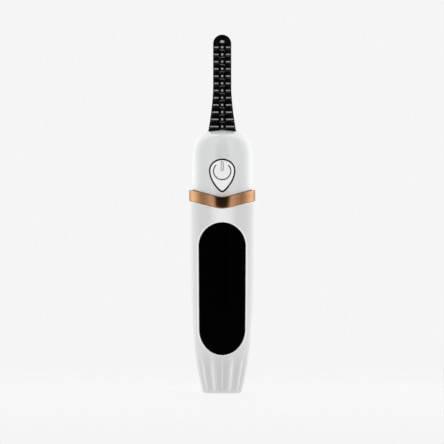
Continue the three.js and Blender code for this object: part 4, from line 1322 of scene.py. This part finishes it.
    def stroke(self, path: np.ndarray, half: float, closed: bool) -> Sheet:
        """A printed line on the key: a low section carried along a path, its ends rounded as half circles.

        Args:
            path: (x, z) points of the line.
            half: Half of the line's width.
            closed: Whether the line joins itself.

        Returns:
            The line as a closed sheet.
        """
        tangent = unit(np.roll(path, -1, 0) - np.roll(path, 1, 0) if closed else np.gradient(path, axis=0))
        across = np.stack([tangent[:, 1], -tangent[:, 0]], -1)
        run = run_length(path)
        end = np.minimum(np.minimum(run, run[-1] - run) / half, 1)
        width = np.full(len(path), half) if closed else half * np.sqrt(np.clip(1 - (1 - end) ** 2, 1e-4, 1))
        section = [(-1, 0.04), (-1, -0.008), (-0.8, -0.02), (0.8, -0.02), (1, -0.008), (1, 0.04)]
        beside = across * width[:, None]
        places = [self.on_skin(path + beside * k, sink - self.key_proud) for k, sink in section]
        return Sheet.grid(np.stack(places, 1), loop=closed, caps=(not closed, not closed))

    def power_mark(self) -> Sheet:
        """The power sign: an open circle and a slim upright capsule."""
        centre, radius = self.key_widest - self.mark_drop, self.mark_radius
        circle = arc(math.radians(132), math.radians(408), 90, (radius, radius), centre)
        low, high, half = centre + self.capsule_low, centre + self.capsule_high, self.capsule_half
        t = circuit(48)
        middle = np.where(np.sin(t) > 0, high - half, low + half)
        capsule = np.stack([half * np.cos(t), half * np.sin(t) + middle], -1)
        return self.stroke(circle, self.mark_line, False) + self.stroke(capsule, self.capsule_line, True)

    def build(self) -> None:
        """Makes the head, the ring, the key, its seal and its mark."""
        settle(self.shell().piece("head_shell"), Stock.DOME, "white_gloss", "head_housing")
        settle(self.ring().piece("rose_gold_ring"), Stock.RING, "rose_gold", "trim_band")
        settle(self.key().piece("power_key"), Stock.KEY, "white_gloss", "power_button", body="button")
        settle(self.key_seal().piece("key_seal"), Stock.SEAL, "rubber", "button_seal")
        settle(self.power_mark().piece("power_mark"), Stock.INK, "rubber", body="button")


# ---- Comb ------------------------------------------------------------------------------------------


@dataclass(frozen=True)
class Comb:
    """The comb: front shell with fins, back shell, heater rail with pins, and the zigzag heating wire."""

    form: CombForm
    first_row: float = 95.8
    pitch: float = 2.6
    rows: int = 12
    fin_half: float = 0.3
    fin_height: float = 1.9
    fin_edge: float = 0.12
    fin_foot: float = 0.8
    rail_half: float = 1.05
    rail_front: float = 1.0
    pin_radius: float = 0.4
    pin_rise: float = 2.5
    wire_radius: float = 0.2
    wire_reach: float = 0.9
    wire_drop: float = 1.0
    ear_half: float = 7.8
    ear_deep: float = 2.15
    ear_middle: float = -1.25
    ear_height: float = 2.3
    ear_round: float = 0.15
    rail_middle: float = 0.74
    rail_thick: float = 0.27
    rail_end: float = 0.25
    last_pin: float = 0.5
    pin_dome: float = 0.3

    def heights(self, closing: int) -> np.ndarray:
        """Heights of the tongue's rows: even up the stem, then by sines of even angles over the round tip."""
        f = self.form
        stem = np.linspace(f.root, f.tip - f.half, 90)
        slot_ends = np.add.outer([f.slot_low, f.slot_high], [-0.02, 0.02]).ravel()
        tip = f.tip - f.half + f.half * np.sin(0.985 * quarter(closing)[1:])
        return np.unique(np.concatenate([stem, slot_ends, tip]))

    def bent(self, x: np.ndarray, y: np.ndarray, z: np.ndarray) -> np.ndarray:
        """Points laid along the tongue's curve: y is measured from the centre line."""
        x, y, z = np.broadcast_arrays(x, y, z)
        return np.stack([x, y + self.form.centre(z), z], -1)

    def front_shell(self) -> Sheet:
        """The front shell: its face runs from side to side over the slot's two edges, then back flat."""
        f = self.form
        z = self.heights(22)[:, None]
        half = f.half_at(z)
        slot = np.minimum(f.slot, 0.55 * half)
        a = quarter(20)[None, :]
        limit = np.arcsin(np.clip(((slot + 0.14) / np.maximum(half, 1e-6)) ** (4 / 3), 0, 1))
        side = half * np.sin(math.pi / 2 + (limit - math.pi / 2) * a / (math.pi / 2)) ** 0.75
        face = np.minimum(f.front_y(side, z), -f.split)
        cut = ((z > f.slot_low) & (z < f.slot_high)).astype(float)
        lip = np.minimum(f.front_y(slot, z), -f.split)
        floor = np.where(cut > 0, -0.5, lip)
        edge_x = np.hstack([slot + 0.05, slot, slot, 0.5 * slot])
        edge_y = np.hstack([lip + 0.03 * cut, lip + 0.12 * cut, floor, floor])
        right_x, right_y = np.hstack([side, edge_x]), np.hstack([face, edge_y])
        flat = np.linspace(-1, 1, 9)[None, 1:-1] * half
        x = np.hstack([right_x, -right_x[:, ::-1], flat])
        y = np.hstack([right_y, right_y[:, ::-1], np.full(flat.shape, -f.split) * (half > 1e-6)])
        return Sheet.grid(self.bent(x, y, z), caps=(True, True))

    def back_shell(self) -> Sheet:
        """The back shell: y = thickness |cos a|^0.7, x = half |sin a|^0.75, closed by the split's plane."""
        f = self.form
        z = self.heights(22)[:, None]
        half, thick = f.half_at(z), f.thickness(z, f.back)
        a = np.linspace(-math.pi / 2, math.pi / 2, 41)[None, :]
        x = half * signed_power(np.sin(a), 0.75)
        y = np.maximum(thick * np.cos(a).clip(0) ** 0.7, np.minimum(f.split, thick))
        flat = np.linspace(1, -1, 9)[None, 1:-1] * half
        x, y = np.hstack([x, flat]), np.hstack([y, np.minimum(f.split, thick) * np.ones(flat.shape)])
        return Sheet.grid(self.bent(x, y, z), caps=(True, True))

    def ears(self) -> Sheet:
        """The screw flange at the back shell's root: a slab whose plan is a rounded bar."""
        t = circuit(64)
        x, y = self.ear_half * signed_power(np.cos(t), 0.35), self.ear_deep * signed_power(np.sin(t), 0.35)
        r, top = self.ear_round, self.ear_height
        path = [(r, 0), (0, r), (0, top - r), (r, top)]
        plans = [(x * (1 - i / 8), y * (1 - i / 2) + self.ear_middle) for i, _ in path]
        rows = [np.stack([a, b, np.full(64, self.form.root + h)], -1) for (a, b), (_, h) in zip(plans, path)]
        return Sheet.grid(np.stack(rows), caps=(True, True))

    def row_heights(self) -> np.ndarray:
        """Heights of the rows of fins."""
        return self.first_row + self.pitch * np.arange(self.rows)

    def fins(self) -> Sheet:
        """All fins: a rounded plate outline in x and y, thinner towards its crest, its root buttressed below.

        The lower side drops by foot (1 - share)^2, share being the height above the face. lay x is 1 on the
        crest, which carries a painted highlight, and lay y is 1 on the buttress, which carries a painted
        sheen.
        """
        f = self.form
        z = self.row_heights()[:, None, None]
        inner, outer = f.slot + 0.02, f.half_at(z) - self.fin_edge
        root = f.thickness(z, f.front)
        a = quarter(9)
        big, small = 0.85, 0.3
        out_x = np.concatenate([[0, 0], -big * (1 - np.cos(a)), small * (1 - np.sin(a)), [0, 0]])
        out_y = np.concatenate([[-0.6, 0.5], -big * (1 - np.sin(a)), -small * (1 - np.cos(a)), [0.5, -0.6]])
        at_outer = np.concatenate([[1, 1], np.ones(9), np.zeros(9), [0, 0]])
        at_crest = np.concatenate([[0, 0], np.ones(9), np.ones(9), [0, 0]])
        x = at_outer * outer + (1 - at_outer) * inner + out_x
        reach = at_crest * (root + self.fin_height) + (1 - at_crest) * root + out_y
        share = np.clip((reach - root) / self.fin_height, 0, 1)
        across = np.array([-1.0, -1.0, -0.8, -0.3, 0.3, 0.8, 1.0, 1.0])[:, None]
        inset = np.array([0.16, 0.06, 0.0, 0.0, 0.0, 0.0, 0.06, 0.16])[:, None]
        middle_x = (x.max(-1, keepdims=True) + x.min(-1, keepdims=True)) / 2
        half = self.fin_half * (1 - 0.3 * share)
        below = np.clip(-across, 0, 1)
        drop = self.fin_foot * below * np.clip(1 - share, 0, 1) ** 2
        px = x + (middle_x - x) * inset * 0.5
        py = -(reach - inset * 0.9 * (share > 0.2))
        pz = z + across * half * (1 - inset * 0.35) - drop
        points = np.stack(np.broadcast_arrays(px, py + f.centre(z), pz), -1)
        # Painted highlight on the crest, painted sheen on the buttress.
        highlight_share = smooth(0.8, 0.97, share) * (1 - 0.2 * inset / inset.max())
        flank_sheen = below * smooth(0.75, 0.3, share)
        lay = np.stack(np.broadcast_arrays(highlight_share, flank_sheen, 0.0), -1)
        right = Sheet.grid(points, caps=(True, True), lay=lay)
        left = right.mirrored()
        left.lay = np.abs(left.lay)
        return right + left

    def rail(self) -> Sheet:
        """The heater rail: a rounded bar along the slot's floor, a pin at each row and one near the tip."""
        f = self.form
        z = np.linspace(f.slot_low + self.rail_end, f.slot_high - self.rail_end, 60)[:, None]
        t = circuit(28)[None, :]
        x = self.rail_half * signed_power(np.cos(t), 0.4)
        y = self.rail_thick * signed_power(np.sin(t), 0.4) - self.rail_middle
        bar = Sheet.grid(self.bent(x, y, z), caps=(True, True))
        return bar + self.pins()

    def pins(self) -> Sheet:
        """The pins: a turned profile along -Y, a painted highlight on the domed head, painted sheen at the
        root. The last one is the widest.
        """
        f = self.form
        z = np.append(self.row_heights(), f.slot_high - self.last_pin)[:, None, None]
        wide = np.append(np.ones(self.rows), 1.5)[:, None, None]
        full = np.append(np.ones(self.rows), 1.25)[:, None, None]
        a = quarter(7)
        profile = np.concatenate([[1.9, 1.75, 1.15, 1.0, 0.95], 0.95 * np.cos(a)[1:]])
        radius = profile[None, :, None] * self.pin_radius * full
        top = self.pin_rise - self.pin_dome
        rise = np.concatenate([[0, 0.3, 0.8, 1.3, top], top + self.pin_dome * np.sin(a)[1:]])[None, :, None]
        t = circuit(20)[None, None, :]
        x, up = radius * wide * np.cos(t), z + radius * np.sin(t)
        y = f.centre(z) - (self.rail_front - 0.25) - rise
        points = np.stack(np.broadcast_arrays(x, y, up), -1)
        # Painted highlight on the head, painted sheen near the root.
        highlight_share = np.broadcast_to(smooth(self.pin_rise - 0.45, self.pin_rise - 0.2, rise), points.shape[:-1])
        lay = np.stack(np.broadcast_arrays(highlight_share, smooth(1.3, 0.7, rise), 0.0), -1)
        return Sheet.grid(points, caps=(True, True), lay=lay)

    def wire(self) -> Sheet:
        """The heating wire, a round section carried along a meander.

        With the phase u, x = reach tanh(2.4 sin u) / tanh 2.4 and z = start + pitch (u - sin(2u) / 2) / pi,
        so that the wire runs level where it crosses, just under each pin.
        """
        f = self.form
        u = np.linspace(-0.42 * math.pi, (self.rows - 0.58) * math.pi, 900)
        x = self.wire_reach * np.tanh(2.4 * np.sin(u)) / math.tanh(2.4)
        z = self.first_row - self.wire_drop + self.pitch * (u - np.sin(2 * u) / 2) / math.pi
        path = np.stack([x, f.centre(z) - self.rail_front - self.wire_radius - 0.02, z], -1)
        along = unit(np.gradient(path, axis=0))
        ahead = np.array([0.0, -1.0, 0.0])
        front = unit(ahead - along * (along @ ahead)[:, None])
        side = np.cross(along, front)
        t = circuit(10)
        spoke = np.cos(t)[None, :, None] * front[:, None] + np.sin(t)[None, :, None] * side[:, None]
        points = path[:, None] + self.wire_radius * spoke
        lay = np.zeros(points.shape)
        # Painted highlight where the wire crosses the middle, fading out towards its turns at the sides.
        lay[..., 0] = 1 - np.abs(x / self.wire_reach)[:, None] ** 6
        return Sheet.grid(points, caps=(True, True), lay=lay)

    def build(self) -> None:
        """Makes both shells, the rail with its pins, and the wire."""
        front = self.front_shell() + self.fins()
        settle(front.piece("comb_front_shell"), Stock.COMB, "heat_black", "comb_front")
        back = self.back_shell() + self.ears()
        settle(back.piece("comb_back_shell"), Stock.COMB, "heat_black", "comb_back")
        settle(self.rail().piece("heater_pins"), Stock.PINS, "ceramic", "heater_rail")
        settle(self.wire().piece("heating_meander"), Stock.WIRE, "wire", "heating_wire")


# ---- Charging port ---------------------------------------------------------------------------------


@dataclass(frozen=True)
class Port:
    """The charging socket in the foot: a drawn steel shell, its tongue and gold contacts on both faces."""

    half: float = 4.47
    radius: float = 1.58
    wall: float = 0.3
    mouth: float = 0.5
    length: float = 7.3
    blade_half: float = 3.3
    blade_thick: float = 0.35
    contacts: int = 12
    contact_reach: float = 2.75
    contact_half: float = 0.12
    contact_low: float = 1.2
    contact_length: float = 2.6
    contact_rise: tuple[float, float] = (0.33, 0.37)

    def slot_ring(self, inset: float, z: float, count: int = 96) -> np.ndarray:
        """A row of points round a slot: half circles of the radius less the inset, joined by straights."""
        t = circuit(count)
        r, straight = self.radius - inset, self.half - self.radius
        x = straight * np.clip(6 * np.cos(t), -1, 1) + r * np.cos(t)
        return np.stack([x, r * np.sin(t), np.full(count, z)], -1)

    def shell(self) -> Sheet:
        """The drawn shell, with a rounded mouth, open at both ends."""
        low, high, w = self.mouth, self.mouth + self.length, self.wall
        turns = np.linspace(math.pi / 2, -math.pi / 2, 9)
        lip = [(w / 2 * (1 - math.sin(a)), low + w / 2 * (1 - math.cos(a))) for a in turns]
        path = [(0, high), (0, low + 2), *lip, (w, low + 2), (w, high)]
        return Sheet.grid(np.stack([self.slot_ring(i, z) for i, z in path]), loop=True)

    def tongue(self) -> Sheet:
        """The tongue's blade, rounded at its edge, with the block behind it."""
        low, high = self.mouth + 0.8, self.mouth + self.length - 0.2
        t = circuit(48)
        x, y = signed_power(np.cos(t), 0.25), signed_power(np.sin(t), 0.5)
        path = [(0.12, low), (0.0, low + 0.12), (0.0, high - 2.2)]
        rows = [
            np.stack([x * (self.blade_half - i), y * (self.blade_thick - i), np.full(48, z)], -1)
            for i, z in path
        ]
        block = [self.slot_ring(self.wall + 0.12, z, 48) for z in (high - 2.3, high)]
        return Sheet.grid(np.stack(rows), caps=(True, True)) + Sheet.grid(np.stack(block), caps=(True, True))

    def contact_strips(self) -> Sheet:
        """Thin gold strips, evenly spaced across both faces of the tongue."""
        low = self.mouth + self.contact_low
        places = np.linspace(-self.contact_reach, self.contact_reach, self.contacts)
        x = places[:, None, None] + self.contact_half * np.array([-1, 1, 1, -1])
        depth = np.repeat(self.contact_rise, 2)
        z = np.array([low, low + self.contact_length])[:, None]
        front, back = (np.stack(np.broadcast_arrays(x, side * depth, z), -1) for side in (-1, 1))
        return Sheet.grid(front, caps=(True, True)) + Sheet.grid(back, caps=(True, True))

    def build(self) -> None:
        """Makes the shell, the tongue and the contacts."""
        settle(self.shell().piece("port_shell"), Stock.STEEL, "steel", "usb_shell")
        settle(self.tongue().piece("port_tongue"), Stock.CHIP, "component", "usb_tongue")
        settle(self.contact_strips().piece("port_contacts"), Stock.GOLD, "steel")


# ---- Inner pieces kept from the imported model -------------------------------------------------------


@dataclass(frozen=True)
class Insides:
    """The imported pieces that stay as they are, each with its finish."""

    finishes: dict[Stock, tuple[str, ...]] = field(
        default_factory=lambda: {
            Stock.RUBBER: ("joint_seal",),
            Stock.FRAME: ("inner_frame", "comb_mount", "display_backlight"),
            Stock.BOARD: ("main_board", "charge_board"),
            Stock.CHIP: (
                "controller_chip",
                "heater_transistor",
                "charge_chip",
                "heat_sensor",
                "switch_plunger",
            ),
            Stock.STEEL: ("switch_body", "battery_tab_positive", "battery_tab_negative", "display_ribbon"),
            Stock.CELL: ("battery_cell",),
            Stock.FOAM: ("battery_pad",),
            Stock.DISPLAY: ("display_glass",),
            Stock.RED: ("heater_lead_left", "charge_lead_left", "battery_lead_positive"),
            Stock.BLACK: ("heater_lead_right", "charge_lead_right", "battery_lead_negative"),
            Stock.WHITE: ("sensor_cable",),
        }
    )
    screws: tuple[str, ...] = ("comb_screw", "mount_screw", "board_screw")

    def build(self) -> None:
        """Dresses every inner piece."""
        for stock, names in self.finishes.items():
            for name in names:
                dress(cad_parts[name], stock)
        for name in self.screws:
            for side in ("left", "right"):
                dress(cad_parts[f"{name}_{side}"], Stock.STEEL)
        log.info("inner pieces dressed")


# ---- Stage, light and camera -----------------------------------------------------------------------


@dataclass(frozen=True)
class Studio:
    """A pale floor that fades into a pale surround, three softboxes, and a long lens at the object's front.

    Each wall is a stop of the band that polished surfaces reflect: the share of the half turn from front to
    back at which it stands, its brightness, and how far it leans to green. The first two are the band's ends.
    """

    surround: float = 0.916
    dome: float = 0.95
    front_dark: float = 0.3
    walls: tuple[tuple[float, float, float], ...] = (
        (0.0, 0.014, 0.0), (1.0, 1.0, 0.0), (0.064, 0.012, 0.0), (0.092, 0.62, 0.0), (0.14, 0.7, 0.0),
        (0.2, 0.5, 0.0), (0.31, 0.35, 0.0), (0.37, 0.4, 0.02), (0.45, 0.62, 0.06), (0.55, 1.02, 0.1),
        (0.66, 1.35, 0.08), (0.76, 1.35, 0.04), (0.86, 1.1, 0.0),
    )
    floor_reach: float = 0.45
    floor_glow: float = 0.735
    distance: float = 2.4
    frame_width: float = 159.84
    centre_height: float = 61.5
    aside: float = -0.07
    aim_height: float = 0.065

    def floor(self) -> None:
        """The floor: a disc that fades out at its edge, partly self-lit to meet the surround's tone."""
        a = circuit(96)
        r = np.linspace(0.002, self.floor_reach, 40)[:, None] / MM
        disc = np.stack([r * np.cos(a), r * np.sin(a), np.full((40, 96), -0.02)], -1)
        made = Sheet.grid(disc).piece("floor")
        if made.data.polygons[0].normal.z < 0:
            made.data.flip_normals()
        r = Recipe("pale_floor")
        where = r.node("TexCoord").outputs["Object"]
        far = r.node("VectorMath", {0: where}, operation="LENGTH").outputs["Value"]
        above = r.maths("SUBTRACT", 1.0, r.node("NewGeometry").outputs["Backfacing"])
        fade = r.maths("MULTIPLY", r.span(far, 0.1, self.floor_reach * 0.95, (1, 0)), above)
        r.set(Base_Color=grey(0.16), Roughness=0.7, Specular_IOR_Level=0.05, Alpha=fade)
        r.set(Emission_Color=grey(1), Emission_Strength=self.floor_glow)
        made.data.materials.append(r.material)

    def world(self) -> None:
        """The surround: pale to the eye, a dome darkest in front for light, and banded walls for reflections.

        Reflections read the horizontal angle from the front, atan2(|x|, -y) / pi, through a ramp.
        """
        world = bpy.data.worlds.new("studio")
        bpy.context.scene.world = world
        world.use_nodes = True
        t = Tree(world.node_tree)
        t.tree.nodes.clear()
        path = t.node("LightPath").outputs
        axes = t.node("SeparateXYZ", {0: t.node("TexCoord").outputs["Generated"]}).outputs
        inputs = {"Value": axes["Y"], "From Min": -0.95, "From Max": -0.2}
        inputs |= {"To Min": self.front_dark, "To Max": self.dome}
        dome = t.node("MapRange", inputs, interpolation_type="SMOOTHSTEP").outputs["Result"]
        angle = t.maths("ARCTAN2", t.maths("ABSOLUTE", axes["X"]), t.maths("MULTIPLY", axes["Y"], -1.0))
        bands = t.node("ValToRGB", {"Fac": t.maths("DIVIDE", angle, math.pi)})
        stops = bands.color_ramp.elements
        for number, (at, tone, green) in enumerate(self.walls):
            stop = stops[number] if number < 2 else stops.new(at)
            stop.position, stop.color = at, colour(tone * (1 - green), tone, tone * (1 - green / 3))
        light = t.blend(path["Is Glossy Ray"], dome, bands.outputs["Color"])
        lit = t.node("Background", {"Color": light}).outputs[0]
        seen = t.node("Background", {"Color": grey(self.surround)}).outputs[0]
        mixed = t.node("MixShader", {"Fac": path["Is Camera Ray"], 1: lit, 2: seen}).outputs[0]
        t.node("OutputWorld", {"Surface": mixed})

    def softbox(
        self, name: str, place: tuple[float, float, float], size: tuple[float, float], power: float
    ) -> None:
        """One area light aimed at the body's middle.

        Args:
            name: The light's name.
            place: Where it stands, in metres.
            size: Its width and height, in metres.
            power: Its power in watts.
        """
        data = bpy.data.lights.new(name, "AREA")
        data.shape, data.size, data.size_y, data.energy = "RECTANGLE", *size, power
        light = bpy.data.objects.new(name, data)
        bpy.context.scene.collection.objects.link(light)
        light.location = place
        light.visible_glossy = False
        aim = Vector((0, 0, self.aim_height)) - light.location
        light.rotation_euler = aim.to_track_quat("-Z", "Y").to_euler()

    def camera(self) -> None:
        """The camera: level with the body's middle, its lens set so that the frame spans the given width."""
        data = bpy.data.cameras.new("camera")
        data.sensor_width = 36
        data.lens = 36 * self.distance / (self.frame_width * MM)
        data.clip_start, data.clip_end = 0.01, 20
        camera = bpy.data.objects.new("camera", data)
        bpy.context.scene.collection.objects.link(camera)
        camera.location = (self.aside * MM, -self.distance, self.centre_height * MM)
        camera.rotation_euler = (math.pi / 2, 0, 0)
        bpy.context.scene.camera = camera

    def build(self) -> None:
        """Makes the camera, the surround, the floor and the softboxes."""
        self.camera()
        self.world()
        self.floor()
        self.softbox("softbox_left", (-0.66, -0.5, 0.12), (0.5, 0.9), 2.0)
        self.softbox("softbox_right", (0.66, -0.5, 0.12), (0.5, 0.9), 2.0)
        self.softbox("softbox_top", (0.0, -0.35, 0.9), (0.5, 0.4), 0.8)
        scene = bpy.context.scene
        scene.view_settings.view_transform = "Standard"
        log.info("studio ready")


def main() -> None:
    """Builds the studio and every sub-assembly."""
    logging.basicConfig(level=logging.INFO, format="%(message)s")
    form, comb = BodyForm.measured(), CombForm()
    Studio().build()
    for assembly in (Handle(form), Head(form, comb), Comb(comb), Port(), Insides()):
        assembly.build()


if __name__ == "__main__":
    main()
